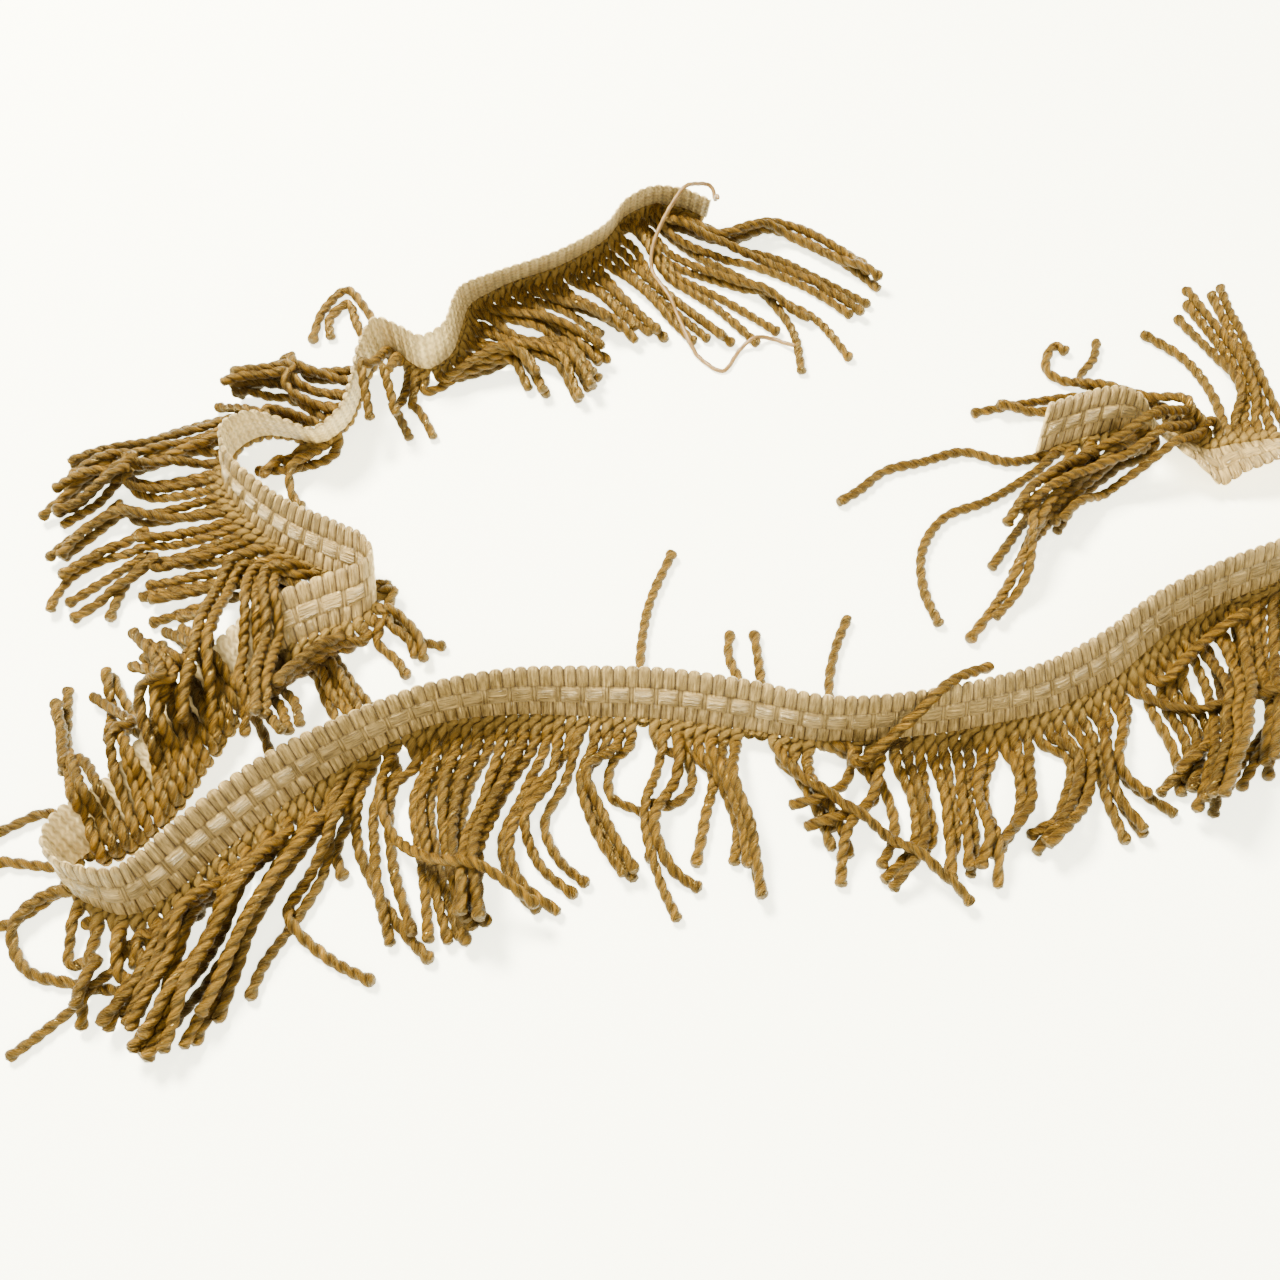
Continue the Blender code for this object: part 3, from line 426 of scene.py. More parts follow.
def tape_at(places):
    """The tape's cord edge, and the unit direction from it to the scalloped edge: the lean in plan
    and the rise sqrt(width^2 - lean^2). The edge lies higher where the tape stands more upright."""
    x, y, lean_x, lean_y = (np.interp(places, PLACES, column) for column in TAPE_CURVE.T)
    rise = np.sqrt(TAPE_WIDTH**2 - lean_x**2 - lean_y**2)
    edge = np.stack([x, y, EDGE_LOW + EDGE_RISE * rise / TAPE_WIDTH], axis=-1)
    return edge, np.stack([lean_x, lean_y, rise], axis=-1) / TAPE_WIDTH


def tape_left(places, step=0.6):
    """The unit normal of the tape's left face, walking along it: across times ahead."""
    ahead = tape_at(places + step)[0] - tape_at(places - step)[0]
    return unit(np.cross(tape_at(places)[1], ahead))


def side_at(place):
    """The side to which the cords hang at a place: 1 is left, -1 is right."""
    return next(side for end, side in SIDES if place < end)


steepest = tape_at(PLACES)[1][:, 2].max()
print(f"the tape stands at {math.degrees(math.asin(steepest)):.0f} degrees where it is steepest")

# %% [markdown]
# ## The cords' plans
# Each cord leaves the tape square to it, on the side that the table gives, and bends towards its
# own end in its lock. Seeded scatter keeps neighbours from being copies.

# %% Plans


def towards(side, aim, most=35.0):
    """A unit vector from side turned towards aim by at most that many degrees."""
    gap = math.atan2(side[0] * aim[1] - side[1] * aim[0], side @ aim)
    turn = max(-math.radians(most), min(math.radians(most), gap))
    cos, sin = math.cos(turn), math.sin(turn)
    return np.array([side[0] * cos - side[1] * sin, side[0] * sin + side[1] * cos])


def bezier(start, out, end, arrive, reach):
    """The curve (1-t)^3 a + 3t(1-t)^2 b + 3t^2(1-t) c + t^3 d from start a to end d, with b the
    handle's reach out of the start and c the same reach before the end."""
    t = np.linspace(0, 1, 60)[:, None]
    near = start + out * reach
    far = end - arrive * reach
    return (1 - t)**3 * start + 3 * t * (1 - t)**2 * near + 3 * t**2 * (1 - t) * far + t**3 * end


def length_of(points):
    """The length of a row of points."""
    return np.linalg.norm(np.diff(points, axis=0), axis=1).sum()


def plan_to_tip(root, out, tip, turn, length):
    """A cord's plan from its root to its tip: of thirty handles, the one that gives its length."""
    chord = tip - root
    length = min(length, MOST_SLACK * np.hypot(*chord))
    heading = math.atan2(chord[1], chord[0]) + math.radians(turn)
    arrive = np.array([math.cos(heading), math.sin(heading)])
    reaches = np.linspace(0.15, 1.6, 30) * length
    plans = [bezier(root, out, tip, arrive, reach) for reach in reaches]
    return min(plans, key=lambda plan: abs(length_of(plan) - length))


def cords():
    """Every cord: its number, place, root, plan, how it passes the tape, and its layer."""
    rng = np.random.default_rng(SEED)
    places = PITCH * (0.75 + np.arange(int((PLACES[-1] - PITCH) / PITCH)))
    strays = {int(np.argmin(abs(places - row[0]))): row for row in STRAYS}
    made = []
    for i, place in enumerate(places):
        scatter = rng.normal(0, 1, 4)
        edge, across = tape_at(place)
        root = (edge - ROOT_DROP * across)[:2]
        tangent = tape_at(place + 1)[0] - tape_at(place - 1)[0]
        side = side_at(place) * np.array([-tangent[1], tangent[0]]) / np.hypot(*tangent[:2])
        if i in strays:
            _, passing, layer, route = strays[i]
            _, plan = plan_curve([root, *route])
        else:
            start, end, x0, y0, x1, y1, turn, passing, layer = next(
                row for row in LOCKS if row[0] <= place < row[1])
            share = (place - start) / (end - start)
            tip = np.array([x0 + (x1 - x0) * share, y0 + (y1 - y0) * share]) + TIP_SCATTER * scatter[:2]
            side = -side if passing == TURNED_BACK else side
            length = STRAND_LENGTH + LENGTH_SPREAD * scatter[2]
            if start in WAYS:
                ways = [(a + (c - a) * share, b + (d - b) * share) for a, b, c, d in WAYS[start]]
                _, plan = plan_curve([root, root + side * FIRST_BEND, *ways, tip])
            else:
                out = towards(side, tip - root)
                plan = plan_to_tip(root, out, tip, turn + TURN_SCATTER * scatter[3], length)
        made.append((i, place, root, plan, passing, layer))
    return made


CORDS = cords()
mean_length = np.mean([length_of(plan) for _, _, _, plan, _, _ in CORDS])
print(f"{len(CORDS)} cords, mean length {mean_length:.1f} mm")

# %% [markdown]
# ## Laying the cords down
# A height map holds the top of what already lies on the surface. A cord sinks until its round
# underside touches the map, a little into the yarn below, and is then added to the map.

# %% The height map
CELL = 0.3
MAP_LOW, MAP_SIZE = np.array([-180.0, -130.0]), (450.0, 310.0)


def ramp(x, low, high):
    """0 below low, 1 above high, and w^2 (3 - 2w) between, w from 0 to 1."""
    w = np.clip((x - low) / (high - low), 0, 1)
    return w * w * (3 - 2 * w)


class HeightMap:
    """The height of what already lies on the surface, on a grid of square cells."""

    def __init__(self):
        self.top = np.zeros([int(side / CELL) + 1 for side in MAP_SIZE])

    def cells(self, points):
        return tuple(((points - MAP_LOW) / CELL).round().astype(int).T)

    def raise_to(self, points, heights):
        np.maximum.at(self.top, self.cells(points), heights)

    def under(self, points):
        return self.top[self.cells(points)]


cords_bed, tape_bed = HeightMap(), HeightMap()
print("a map of", cords_bed.top.shape, "cells")

# %% Laying one cord
RADIUS, THREAD_RADIUS = 1.28, 0.6
# How far a cord presses into what it lies on, the steepest that it climbs, how far it softens its
# bends, and how steeply and over what length it comes down from its root
SINK = 0.35
STEEPEST, SOFTEN = 0.55, 1.3
FALL, START = 0.9, 5.0
# The end of the stretch near its root in which a cord doesn't climb over the tape
FREE = 4.0


def lateral(points):
    """Unit vectors to the left of a plan."""
    ahead = np.gradient(points, axis=0)
    return np.stack([-ahead[:, 1], ahead[:, 0]], axis=1) / np.hypot(*ahead.T)[:, None]


def eased(need):
    """The lowest curve over need that is nowhere too steep, then blurred by a bell curve: the
    running maximum of need + slope s, less slope s, and the same from the other end."""
    s = np.arange(len(need)) * CELL
    up = np.maximum.accumulate(need + STEEPEST * s) - STEEPEST * s
    down = (np.maximum.accumulate((need - STEEPEST * s)[::-1]))[::-1] + STEEPEST * s
    reach = round(3 * SOFTEN / CELL)
    weights = np.exp(-0.5 * (np.arange(-reach, reach + 1) * CELL / SOFTEN)**2)
    padded = np.pad(np.maximum(up, down), reach, mode="edge")
    return np.convolve(padded, weights / weights.sum(), mode="valid")


def lay_down(plan, low_start, radius, over_tape, free=FREE):
    """The fine path of a cord, the directions to its left, and the height of its underside: a
    stiff curve over all that lies under it, which starts from its root. At the distance d from
    its middle the round underside is radius - sqrt(radius^2 - d^2) higher."""
    run = np.concatenate([[0], np.cumsum(np.hypot(*np.diff(plan, axis=0).T))])
    along = np.arange(0, run[-1], CELL)
    path = np.stack([np.interp(along, run, column) for column in plan.T], axis=1)
    aside = lateral(path)
    need = np.zeros(len(path))
    for offset in np.linspace(-0.85, 0.85, 7) * radius:
        hollow = radius - math.sqrt(radius**2 - offset**2) + SINK
        need = np.maximum(need, cords_bed.under(path + aside * offset) - hollow)
        if over_tape:
            need = np.maximum(need, np.where(along > free, tape_bed.under(path + aside * offset), 0))
    level = np.maximum(eased(need), low_start - FALL * along)
    start = ramp(along, 0, START)
    return path, aside, low_start * (1 - start) + level * start


def stamp(path, aside, level, radius):
    """Adds a laid cord to the map: its top is level + radius + sqrt(radius^2 - d^2)."""
    for offset in np.linspace(-1, 1, 9) * radius:
        top = level + radius + math.sqrt(max(0.0, radius**2 - offset**2))
        cords_bed.raise_to(path + aside * offset, top)


def laid_spine(cord):
    """Lays one cord and returns the points that its axis passes through."""
    _, place, root, plan, passing, _ = cord
    edge, across = tape_at(place)
    face = side_at(place) * tape_left(np.array([place]))[0]
    over_tape = passing != UNDER
    low = max(0.0, edge[2] - ROOT_DROP * across[2] - RADIUS)
    if passing == TURNED_BACK:
        heading = (plan[8] - plan[0]) / np.hypot(*(plan[8] - plan[0]))
        path, aside, level = lay_down(plan[2:], low + 5.6, RADIUS, over_tape, free=0.0)
        stamp(path, aside, level, RADIUS)
        # The turn: distances back from the root, and heights above it
        loop = ((0.2, 1.4), (2.0, 2.0), (2.4, 4.6), (0.6, 6.4))
        turn = [[*(root - heading * reach), low + rise] for reach, rise in loop]
        return np.vstack([turn, np.column_stack([path, level + RADIUS])[4::6]])
    path, aside, level = lay_down(plan, low, RADIUS, over_tape)
    stamp(path, aside, level, RADIUS)
    rooted = [edge + 0.7 * across + 0.1 * face, edge - 0.7 * across + 0.25 * face]
    return np.vstack([rooted, np.column_stack([path, level + RADIUS])[8::6]])


# %% Laying all cords


def laying_order(cord):
    """What lies under the tape first, then what turns back, then the rest: by layer, and in each
    layer every other cord before its neighbours."""
    i, _, _, _, passing, layer = cord
    return (UNDER, TURNED_BACK, BESIDE).index(passing), layer, i % 2, i


edge, across = tape_at(PLACES)
for offset in np.arange(-2.0, TAPE_WIDTH, CELL):
    points = edge + offset * across
    for shift in (-1, 0, 1):
        tape_bed.raise_to(points[:, :2] + shift * CELL, points[:, 2] + 0.6)
SPINES = {cord[0]: laid_spine(cord) for cord in sorted(CORDS, key=laying_order)}
print("highest axis", round(max(float(spine[:, 2].max()) for spine in SPINES.values()), 1), "mm")

# %% [markdown]
# ## Twisted cords
# The outline of the two plies is sampled where it bends most, and every ring is turned a little
# further than the one before it.

# %% Meshes of rings
RING = 12


def cap_quads(first, count):
    """A row of quads that closes a ring of count points: each joins two neighbours to the two
    that lie opposite."""
    j = np.arange(count // 2 - 1)
    return first + np.stack([j, j + 1, count - 2 - j, count - 1 - j], axis=1)


def tube_quads(rings, first=0):
    """The quads of a closed tube of rings of points: its wall, and its two ends."""
    k, j = np.meshgrid(np.arange(rings - 1), np.arange(RING), indexing="ij")
    a = first + k * RING + j
    b = first + k * RING + (j + 1) % RING
    wall = np.stack([a, b, b + RING, a + RING], axis=-1).reshape(-1, 4)
    last = first + (rings - 1) * RING
    return np.vstack([wall, cap_quads(first, RING)[:, ::-1], cap_quads(last, RING)])


def rings_around(axis, angle, radius):
    """The points of rings square to an axis: axis + radius (cos(angle) side + sin(angle) up)."""
    ahead = unit(np.gradient(axis, axis=0))
    side = unit(np.cross(np.array([0.0, 0.0, 1.0]) + 0 * ahead, ahead) + 1e-6)
    up = np.cross(ahead, side)
    ring = np.cos(angle)[..., None] * side[:, None] + np.sin(angle)[..., None] * up[:, None]
    return axis[:, None] + radius[..., None] * ring


def mesh_object(name, points, quads, attributes):
    """A smooth mesh object from points in millimetres, with float or vector attributes."""
    mesh = bpy.data.meshes.new(name)
    places = (points - np.array([*MIDDLE, 0.0])) * MM
    mesh.vertices.add(len(places))
    mesh.vertices.foreach_set("co", places.astype(np.float32).ravel())
    mesh.loops.add(quads.size)
    mesh.loops.foreach_set("vertex_index", quads.astype(np.int32).ravel())
    mesh.polygons.add(len(quads))
    mesh.polygons.foreach_set("loop_start", np.arange(0, quads.size, 4, dtype=np.int32))
    mesh.polygons.foreach_set("use_smooth", np.ones(len(quads), bool))
    mesh.update(calc_edges=True)
    for key, values in attributes.items():
        kind, field = ("FLOAT_VECTOR", "vector") if values.ndim == 2 else ("FLOAT", "value")
        data = mesh.attributes.new(key, kind, "POINT").data
        data.foreach_set(field, values.astype(np.float32).ravel())
    made = bpy.data.objects.new(name, mesh)
    bpy.context.scene.collection.objects.link(made)
    return made


print("a ring has", RING, "points")

# %% Two-ply surfaces
PLY, PLY_OUT = 0.96, 0.34
RING_STEP = 0.5
TWIST = 6.2


def two_ply(spine, rng):
    """The points of one cord's surface, ring by ring, with two vectors for its material: the
    yarn's own coordinates, which turn with the plies, and the distances from its root and tip
    with the depth below what lies on top, from which the material paints shade under the
    cords above."""
    s, axis = even_curve(spine, RING_STEP)
    left = s[-1] - s
    twist = TWIST * rng.uniform(0.92, 1.12)
    phase = rng.uniform(0, 2 * math.pi)
    sway = 0.5 * np.sin(2 * math.pi * s / rng.uniform(17, 30) + phase)
    turned = phase + 2 * math.pi * s / twist + sway
    p = np.arange(RING) * 2 * math.pi / RING
    plies = PLY_OUT * abs(np.cos(p)) + np.sqrt(PLY**2 - (PLY_OUT * np.sin(p))**2)
    girth = rng.uniform(0.92, 1.05) * (1 + 0.04 * np.sin(2 * math.pi * s / rng.uniform(9, 16)))
    girth *= 1 + 0.3 * np.exp(-(s / 7.0)**2)
    knob = 1 + 0.2 * np.exp(-((left - 1.4) / 1.0)**2)
    tip = np.sqrt(np.clip(1 - (1 - np.clip(left / 0.9, 0, 1))**2, 0.0004, 1))
    root = np.sqrt(np.clip(1 - (1 - np.clip(s / 1.6, 0.1, 1))**2, 0, 1))
    rounder = 0.55 * np.maximum(np.exp(-left / 1.2), 0.8 * np.exp(-(s / 4.0)**2))[:, None]
    radius = (girth * knob * tip * root)[:, None] * (plies * (1 - rounder) + 1.15 * rounder)
    points = rings_around(axis, p + turned[:, None], radius)
    flat = 0 * radius
    yarn = np.stack([s[:, None] + flat, radius * np.cos(p), radius * np.sin(p)], axis=-1)
    # How far each point lies below the top of the cords over it: the material paints shade with it.
    shade_depth = np.clip(cords_bed.under(points[..., :2].reshape(-1, 2)) - points[..., 2].ravel(), 0, 9)
    ends = np.stack([s[:, None] + flat, left[:, None] + flat, shade_depth.reshape(radius.shape)], axis=-1)
    return points.reshape(-1, 3), yarn.reshape(-1, 3), ends.reshape(-1, 3)


def cord_bundle(name, numbers, seed):
    """All cords of one stretch as one mesh. Each has a start of its own in the yarn's noise, and
    a tint of its own."""
    rng = np.random.default_rng(seed)
    points, quads, yarns, places, tints, first = [], [], [], [], [], 0
    for number in numbers:
        surface, yarn, ends = two_ply(SPINES[number], rng)
        points.append(surface)
        quads.append(tube_quads(len(surface) // RING, first))
        yarns.append(yarn + np.array([rng.uniform(0, 500), 0, 0]))
        places.append(ends)
        tints.append(np.full(len(yarn), rng.uniform(0, 1)))
        first += len(surface)
    stored = {"yarn": np.vstack(yarns), "ends": np.vstack(places), "tint": np.concatenate(tints)}
    return mesh_object(name, np.vstack(points), np.vstack(quads), stored)


bundles, begin = [], 0
for name, end in STRETCHES:
    numbers = [cord[0] for cord in CORDS if begin <= cord[1] < end]
    bundles.append((name, cord_bundle("cords_" + name[7:], numbers, 100 + begin)))
    begin = end
    print(f"{name}: {len(numbers)} cords, {2 * len(bundles[-1][1].data.polygons)} triangles")

# %% [markdown]
# ## The header tape
# Each face of the tape has its own relief. The satin face has three bands: ribs that end in
# scallops, floats over nearly two ribs with a narrow one between them, and ribs that run on as
# cords. The plain face has low rows and shallow ribs, and its fine zigzag is left to the material.

# %% Reliefs
THICKNESS = 0.6
# A rib's middle lies three quarters of a pitch after the start, and is sampled at these phases
RIB_START = 0.75
RIB_PHASES = np.array([-0.5, -0.42, -0.3, -0.15, 0.0, 0.15, 0.3, 0.42])
TAPE_ROWS = np.array([0, 0.35, 1.1, 2.3, 3.4, 3.75, 4.0, 4.4, 5.6, 6.8, 7.2, 7.45, 7.7, 8.05, 8.9, 9.8,
                      10.7, 11.3, 11.7, 11.9, 12.0])
RIB_HEIGHT, FLOAT_HEIGHT, BETWEEN_HEIGHT = 0.6, 0.85, 0.46
# Each band's middle across the tape and half its width
FLOAT_BAND, SCALLOP_BAND = (5.6, 1.9), (9.9, 2.3)


def rib_phase(s, period, start):
    """The distance from the nearest rib's middle, from -0.5 to 0.5 of a period."""
    return (s / period - start + 0.5) % 1 - 0.5


def satin_relief(s, t):
    """Round ribs sqrt(1 - x^2), and over them a band of floats. A float is flat over nearly two
    ribs, with edges that fall by x^4, and a narrow rib shows between two of them. Both bands end
    in rounded corners."""
    rib = RIB_HEIGHT * np.sqrt(np.clip(1 - (2.1 * rib_phase(s, PITCH, RIB_START))**2, 0.0, 1))
    y = abs(rib_phase(s, 2 * PITCH, -0.125))
    between = BETWEEN_HEIGHT * np.sqrt(np.clip(1 - ((y - 0.5) / 0.08)**2, 0, 1))
    over = FLOAT_HEIGHT * (1 - ramp(y, 0.36, 0.43)) * (1 - 0.2 * (y / 0.35)**4) + between
    band = np.sqrt(np.clip(1 - ((t - FLOAT_BAND[0]) / FLOAT_BAND[1])**6, 0, 1))
    pillow = np.sqrt(np.clip(1 - abs((t - SCALLOP_BAND[0]) / SCALLOP_BAND[1])**4, 0, 1))
    upper = ramp(t, 7.4, 7.6)
    return over * band + rib * (1 - ramp(band, 0, 0.5)) * (1 - upper + upper * pillow)


def plain_relief(s, t):
    """Low rows along the tape, 0.1 sin, and shallow ribs across it, 0.12 cos."""
    row = 0.1 * np.sin(2 * math.pi * t / 2.4)
    return 0.2 + row + 0.12 * np.cos(2 * math.pi * rib_phase(s, PITCH, RIB_START))


def satin_share(s, left):
    """How far a face is the satin one. The left face is satin round the hairpin's bend and at the
    right end; the right face from the bend at the back up to that end."""
    last = ramp(s, 708, 716)
    if left:
        return ramp(s, 238, 242) * (1 - ramp(s, 262, 268)) + last
    return ramp(s, 112, 120) * (1 - last)


print(len(TAPE_ROWS), "rows of points on each face,", len(RIB_PHASES), "points on every rib")

# %% The tape's surface


def tape_stations():
    """The places along the tape at which its surface is sampled, with both its ends."""
    ribs = np.arange(math.ceil(PLACES[-1] / PITCH) + 1) + RIB_START
    s = (PITCH * (ribs[:, None] + RIB_PHASES)).ravel()
    return np.concatenate([[0], s[(s > 0.05) & (s < PLACES[-1] - 0.05)], [PLACES[-1]]])


def header():
    """Both faces of the tape, joined at its edges. A point is edge + reach across, plus half the
    thickness and the relief along the face's normal. Half round scallops, sqrt(1 - x^2), shift
    the far edge."""
    s = tape_stations()
    edge, across = tape_at(s)
    normal = tape_left(s)
    scallop = 0.95 * np.sqrt(np.clip(1 - (2 * rib_phase(s, PITCH, RIB_START))**2, 0, 1)) - 0.5
    S, T = np.meshgrid(s, TAPE_ROWS, indexing="ij")
    reach = T + scallop[:, None] * ramp(T, 8, TAPE_WIDTH)
    rim = 1 - 0.6 * ramp(T, 11.4, TAPE_WIDTH) - 0.3 * (1 - ramp(T, 0, 0.6))
    middle = edge[:, None] + reach[..., None] * across[:, None]
    faces, weaves, satins = [], [], []
    for left in (True, False):
        share = satin_share(S, left)
        relief = share * satin_relief(S, T) + (1 - share) * plain_relief(S, T)
        offset = (1 if left else -1) * (THICKNESS / 2 + relief) * rim
        faces.append(middle + offset[..., None] * normal[:, None])
        weaves.append(np.stack([S, T, relief], axis=-1))
        satins.append(share)
    points, weave, satin = (np.concatenate([first, second[:, ::-1]], axis=1)
                            for first, second in (faces, weaves, satins))
    rows = points.shape[1]
    i, j = np.meshgrid(np.arange(len(s) - 1), np.arange(rows), indexing="ij")
    a, b = i * rows + j, i * rows + (j + 1) % rows
    wall = np.stack([a, a + rows, b + rows, b], axis=-1).reshape(-1, 4)
    caps = [cap_quads(0, rows), cap_quads((len(s) - 1) * rows, rows)[:, ::-1]]
    return mesh_object("woven_header", points.reshape(-1, 3), np.vstack([wall, *caps]),
                       {"weave": weave.reshape(-1, 3), "satin": satin.ravel()})


tape = header()
print("header:", 2 * len(tape.data.polygons), "triangles")

# %% The loose thread


def thin_thread(name, spine, radius, step):
    """A thread whose outline has three low ridges, radius (1 + 0.12 sin(3 angle)), that turn
    fully in 9.3 mm. Its ends are rounded."""
    s, axis = even_curve(spine, step)
    angle = np.arange(RING) * 2 * math.pi / RING
    size = radius * np.sqrt(np.clip(np.minimum(s, s[-1] - s) / radius, 0.02, 1))
    wave = size[:, None] * (1 + 0.12 * np.sin(3 * angle + 2 * math.pi * s[:, None] / 3.1))
    points = rings_around(axis, angle, wave)
    yarn = np.stack([s[:, None] + 0 * wave, wave * np.cos(angle), wave * np.sin(angle)], axis=-1)
    return mesh_object(name, points.reshape(-1, 3), tube_quads(len(s)), {"yarn": yarn.reshape(-1, 3)})


_, thread_plan = plan_curve(THREAD_ROUTE)
path, _, level = lay_down(thread_plan, 14.0, THREAD_RADIUS, over_tape=True)
thread_spine = np.column_stack([path, level + THREAD_RADIUS])[::6]
thread = thin_thread("loose_end", thread_spine, 0.55, 0.6)
print("thread:", 2 * len(thread.data.polygons), "triangles")

# %% [markdown]
# ## Materials
# A small class wraps shader sockets, so that the maths of a material reads as Python.

# %% Shader maths


def as_colour(value):
    """A colour of three numbers as one of four; anything else as it is."""
    return (*value, 1) if isinstance(value, tuple) else value


class Sock:
    """A shader socket with arithmetic."""

    def __init__(self, tree, socket=None):
        self.tree, self.socket = tree, socket

    def node(self, kind, *inputs, out=0, **settings):
        """Any other node of this tree, with these inputs by position or name."""
        made = self.tree.nodes.new(kind)
        named = settings.pop("inputs", {})
        for key, value in settings.items():
            setattr(made, key, value)
        for key, value in [*enumerate(inputs), *named.items()]:
            if isinstance(value, Sock):
                self.tree.links.new(value.socket, made.inputs[key])
            else:
                made.inputs[key].default_value = value
        return Sock(self.tree, made.outputs[out])

    def maths(self, kind, *others):
        return self.node("ShaderNodeMath", self, *others, operation=kind)

    def __add__(self, other):
        return self.maths("ADD", other)

    def __sub__(self, other):
        return self.maths("SUBTRACT", other)

    def __mul__(self, other):
        return self.maths("MULTIPLY", other)

    def __abs__(self):
        return self.maths("ABSOLUTE")

    def rest(self):
        """1 minus this."""
        return self * -1.0 + 1.0

    def clamp(self, low, high):
        """0 at low, 1 at high, and clamped outside; low may be the higher one."""
        return self.node("ShaderNodeMapRange", self, low, high, 0.0, 1.0)

    def scaled(self, scale):
        return self.node("ShaderNodeVectorMath", self, scale, operation="MULTIPLY")

    def part(self, number):
        return self.node("ShaderNodeSeparateXYZ", self, out=number)

    def noise(self, detail, rough=0.5):
        values = {"Vector": self, "Scale": 1.0, "Detail": detail, "Roughness": rough}
        return self.node("ShaderNodeTexNoise", inputs=values)

    def mix(self, first, second):
        """The first colour where this is 0, the second where it is 1."""
        colours = {6: as_colour(first), 7: as_colour(second)}
        return self.node("ShaderNodeMix", inputs={0: self, **colours}, out=2, data_type="RGBA")

    def vector(self, name):
        """A vector that the mesh stores at its points."""
        return self.node("ShaderNodeAttribute", attribute_name=name, out=1)

    def number(self, name):
        """A number that the mesh stores at its points."""
        return self.node("ShaderNodeAttribute", attribute_name=name, out=2)


def start_material(name, colour, roughness, specular=0.5, sheen=(1.0, 1.0, 1.0)):
    """A new material, its shader with the constants set, and a socket to build nodes from."""
    made = bpy.data.materials.new(name)
    made.use_nodes = True
    shader = made.node_tree.nodes["Principled BSDF"]
    constants = {"Base Color": as_colour(colour), "Roughness": roughness,
                 "Specular IOR Level": specular, "Specular Tint": as_colour(sheen)}
    for socket, value in constants.items():
        shader.inputs[socket].default_value = value
    return made, shader, Sock(made.node_tree)


def finish_material(tree, shader, colour, roughness, height, distance, strength):
    """Links the varying inputs: colour, roughness, and a bump of this height."""
    values = {"Strength": strength, "Distance": distance, "Height": height}
    bump = tree.node("ShaderNodeBump", inputs=values)
    for socket, value in (("Base Color", colour), ("Roughness", roughness), ("Normal", bump)):
        tree.tree.links.new(value.socket, shader.inputs[socket])
    print(len(tree.tree.nodes), "nodes")


# %% [markdown]
# ### Twisted cord
# Fibres run along the plies, because their noise is stretched in the yarn's own coordinates. The
# cord is pale at its root and dark at its tip's cut. Shade is painted into its colour: dark in the
# groove between its plies, and darker the deeper it lies under other cords.

# %% Twisted cord
cord_material, shader, tree = start_material("gold_cord", (0.55, 0.30, 0.07), 0.45, 0.9, (1.0, 0.72, 0.22))
yarn, tint = tree.vector("yarn"), tree.number("tint")
from_root, to_tip, shade_depth = (tree.vector("ends").part(k) for k in range(3))
fibre = yarn.scaled((0.3, 1.9, 1.9)).noise(5.0, 0.7).clamp(0.38, 0.62)
patch = yarn.scaled((0.12, 0.4, 0.4)).noise(2.0)
beside = abs(yarn.part(1))
shade = (fibre * 0.7 + patch * 0.4 + tint * 0.3 - 0.25).clamp(0.1, 0.9)
gold = shade.mix((0.017, 0.0055, 0.0001), (0.195, 0.089, 0.0026))
gold = from_root.clamp(2.4, 5.5).mix((0.23, 0.135, 0.028), gold)
# Painted shade in the groove between the two plies
gold = beside.clamp(0.12, 0.8).mix((0.020, 0.006, 0.0001), gold)
# Painted shade: darker the lower the cord lies under other cords
gold = shade_depth.clamp(1.0, 6.0).mix(gold, (0.016, 0.004, 0.0001))
gold = to_tip.clamp(0.05, 0.5).mix((0.040, 0.015, 0.0006), gold)
weight = beside.clamp(0.0, 0.9) * 0.5 + fibre * 0.5
finish_material(tree, shader, gold, fibre * 0.25 + 0.26, weight, 0.0007, 1.0)

# %% [markdown]
# ### Woven header
# Threads run across the tape on its ribs and along it on its floats, which are where the relief
# is high in the middle band. The plain face has a zigzag of threads instead. Shade is painted
# into the low valleys between ribs and floats.

# %% Woven header
header_material, shader, tree = start_material("champagne_header", (0.62, 0.50, 0.28), 0.42, 1.0,
                                               (1.0, 0.86, 0.56))
weave, satin = tree.vector("weave"), tree.number("satin")
along_tape, across_tape, relief = (weave.part(k) for k in range(3))
ribs = weave.scaled((2.0, 0.2, 0.0)).noise(4.0, 0.7).clamp(0.38, 0.62)
floats = weave.scaled((0.2, 2.0, 0.0)).noise(4.0, 0.7).clamp(0.38, 0.62)
on_float = abs(across_tape - FLOAT_BAND[0]).clamp(1.95, 1.75) * relief.clamp(0.5, 0.58)
zigzag = (along_tape * 4.83 + across_tape.maths("PINGPONG", 1.2) * 2.2).maths("SINE") * 0.3 + 0.5
threads = on_float * floats + on_float.rest() * ribs
threads = satin * threads + satin.rest() * (zigzag * 0.75 + ribs * 0.3)
patch = weave.scaled((0.05, 0.1, 0.0)).noise(2.0)
pick = weave.scaled((0.38, 0.25, 0.0)).noise(1.0)
shade = (threads * 0.6 + patch * 0.3 + pick * 0.6 - 0.25).clamp(0.1, 0.85)
bright = shade.mix((0.10, 0.058, 0.012), (0.58, 0.39, 0.13))
dull = shade.mix((0.30, 0.18, 0.045), (0.86, 0.66, 0.29))
# Painted shade in the low valleys between ribs and floats: full on the satin face, part on the plain face
depth = relief.clamp(0.02, 0.36)
woven = satin.mix(dull, bright)
woven = (depth * satin + satin.rest() * (depth * 0.4 + 0.6)).mix((0.034, 0.013, 0.0012), woven)
finish_material(tree, shader, woven, satin * -0.14 + 0.44, threads, 0.0005, 0.9)

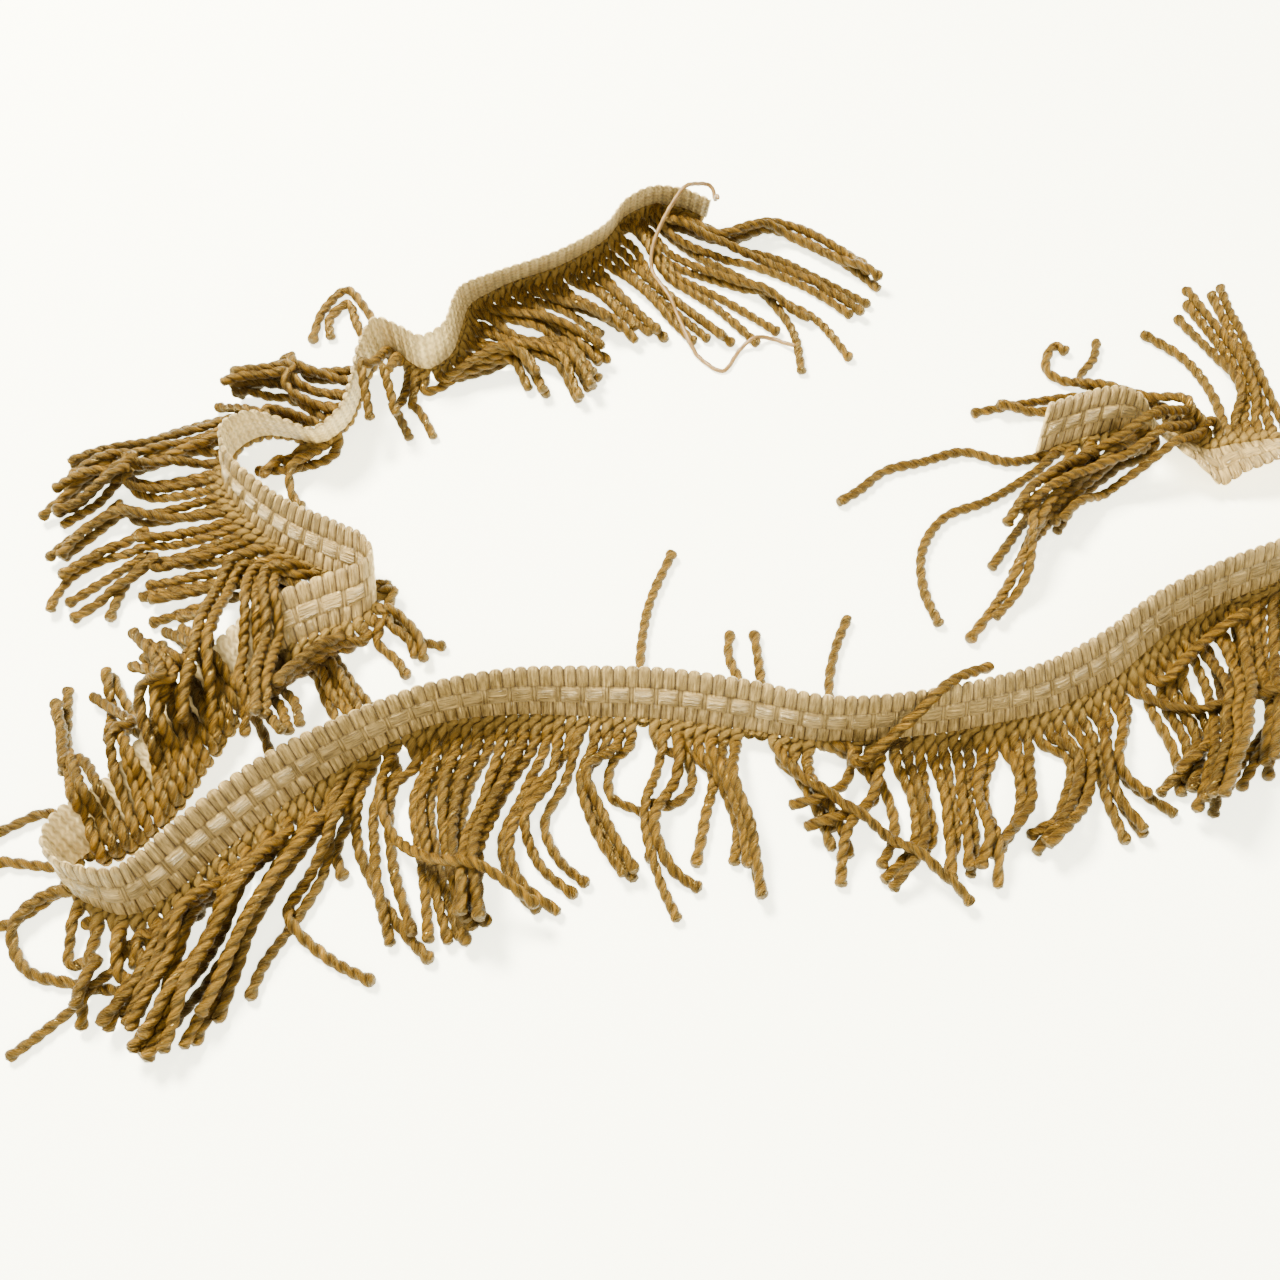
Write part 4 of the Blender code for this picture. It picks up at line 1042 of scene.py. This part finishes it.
# %% Thread
thread_material, shader, tree = start_material("pale_thread", (0.62, 0.45, 0.2), 0.5)
fibre = tree.vector("yarn").scaled((0.6, 4.0, 4.0)).noise(4.0, 0.6)
colour = fibre.clamp(0.3, 0.7).mix((0.10, 0.046, 0.005), (0.22, 0.118, 0.016))
finish_material(tree, shader, colour, fibre * 0.2 + 0.4, fibre, 0.0002, 0.5)

# %% [markdown]
# ## Into the frame
# Every piece rides on the one body and replaces its plain solid.

# %% Pieces
for name, bundle in bundles:
    bundle.data.materials.append(cord_material)
    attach(bundle, "root")
    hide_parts(name)
tape.data.materials.append(header_material)
thread.data.materials.append(thread_material)
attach(tape, "root")
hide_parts("header_tape")
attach(thread, "root")
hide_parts("loose_thread")
print(len(bundles) + 2, "pieces")

# %% [markdown]
# ## Floor and light
# The floor gives off some light of its own, like a light table, so that it stays pale while the
# lamps are soft. The key light is behind the trim at the left, and the fill is in front of it.

# %% Stage
floor_mesh = bpy.data.meshes.new("floor")
floor_mesh.from_pydata([(-4, -4, 0), (4, -4, 0), (4, 4, 0), (-4, 4, 0)], [], [(0, 1, 2, 3)])
floor = bpy.data.objects.new("floor", floor_mesh)
bpy.context.scene.collection.objects.link(floor)
floor_material, shader, _ = start_material("pale_floor", (0.96, 0.96, 0.78), 0.9)
shader.inputs["Emission Color"].default_value = (1.0, 1.0, 0.80, 1)
shader.inputs["Emission Strength"].default_value = 2.8
floor_mesh.materials.append(floor_material)

world = bpy.data.worlds.new("studio")
bpy.context.scene.world = world
world.use_nodes = True
world.node_tree.nodes["Background"].inputs["Color"].default_value = (1.0, 0.985, 0.87, 1)
world.node_tree.nodes["Background"].inputs["Strength"].default_value = 1.4


def softbox(name, place, side, power, colour):
    """A square area light that faces the origin."""
    light = bpy.data.lights.new(name, "AREA")
    light.shape, light.size, light.energy, light.color = "SQUARE", side, power, colour
    made = bpy.data.objects.new(name, light)
    bpy.context.scene.collection.objects.link(made)
    x, y, z = made.location = place
    made.rotation_euler = (math.atan2(math.hypot(x, y), z), 0, math.atan2(-y, -x) - math.pi / 2)
    return made


lights = [softbox("key", (-0.45, 0.5, 0.85), 0.3, 80.0, (1.0, 0.97, 0.86)),
          softbox("fill", (0.15, -0.7, 0.75), 0.5, 13.0, (1.0, 0.97, 0.88))]
print("lights:", [(light.name, light.data.energy) for light in lights])
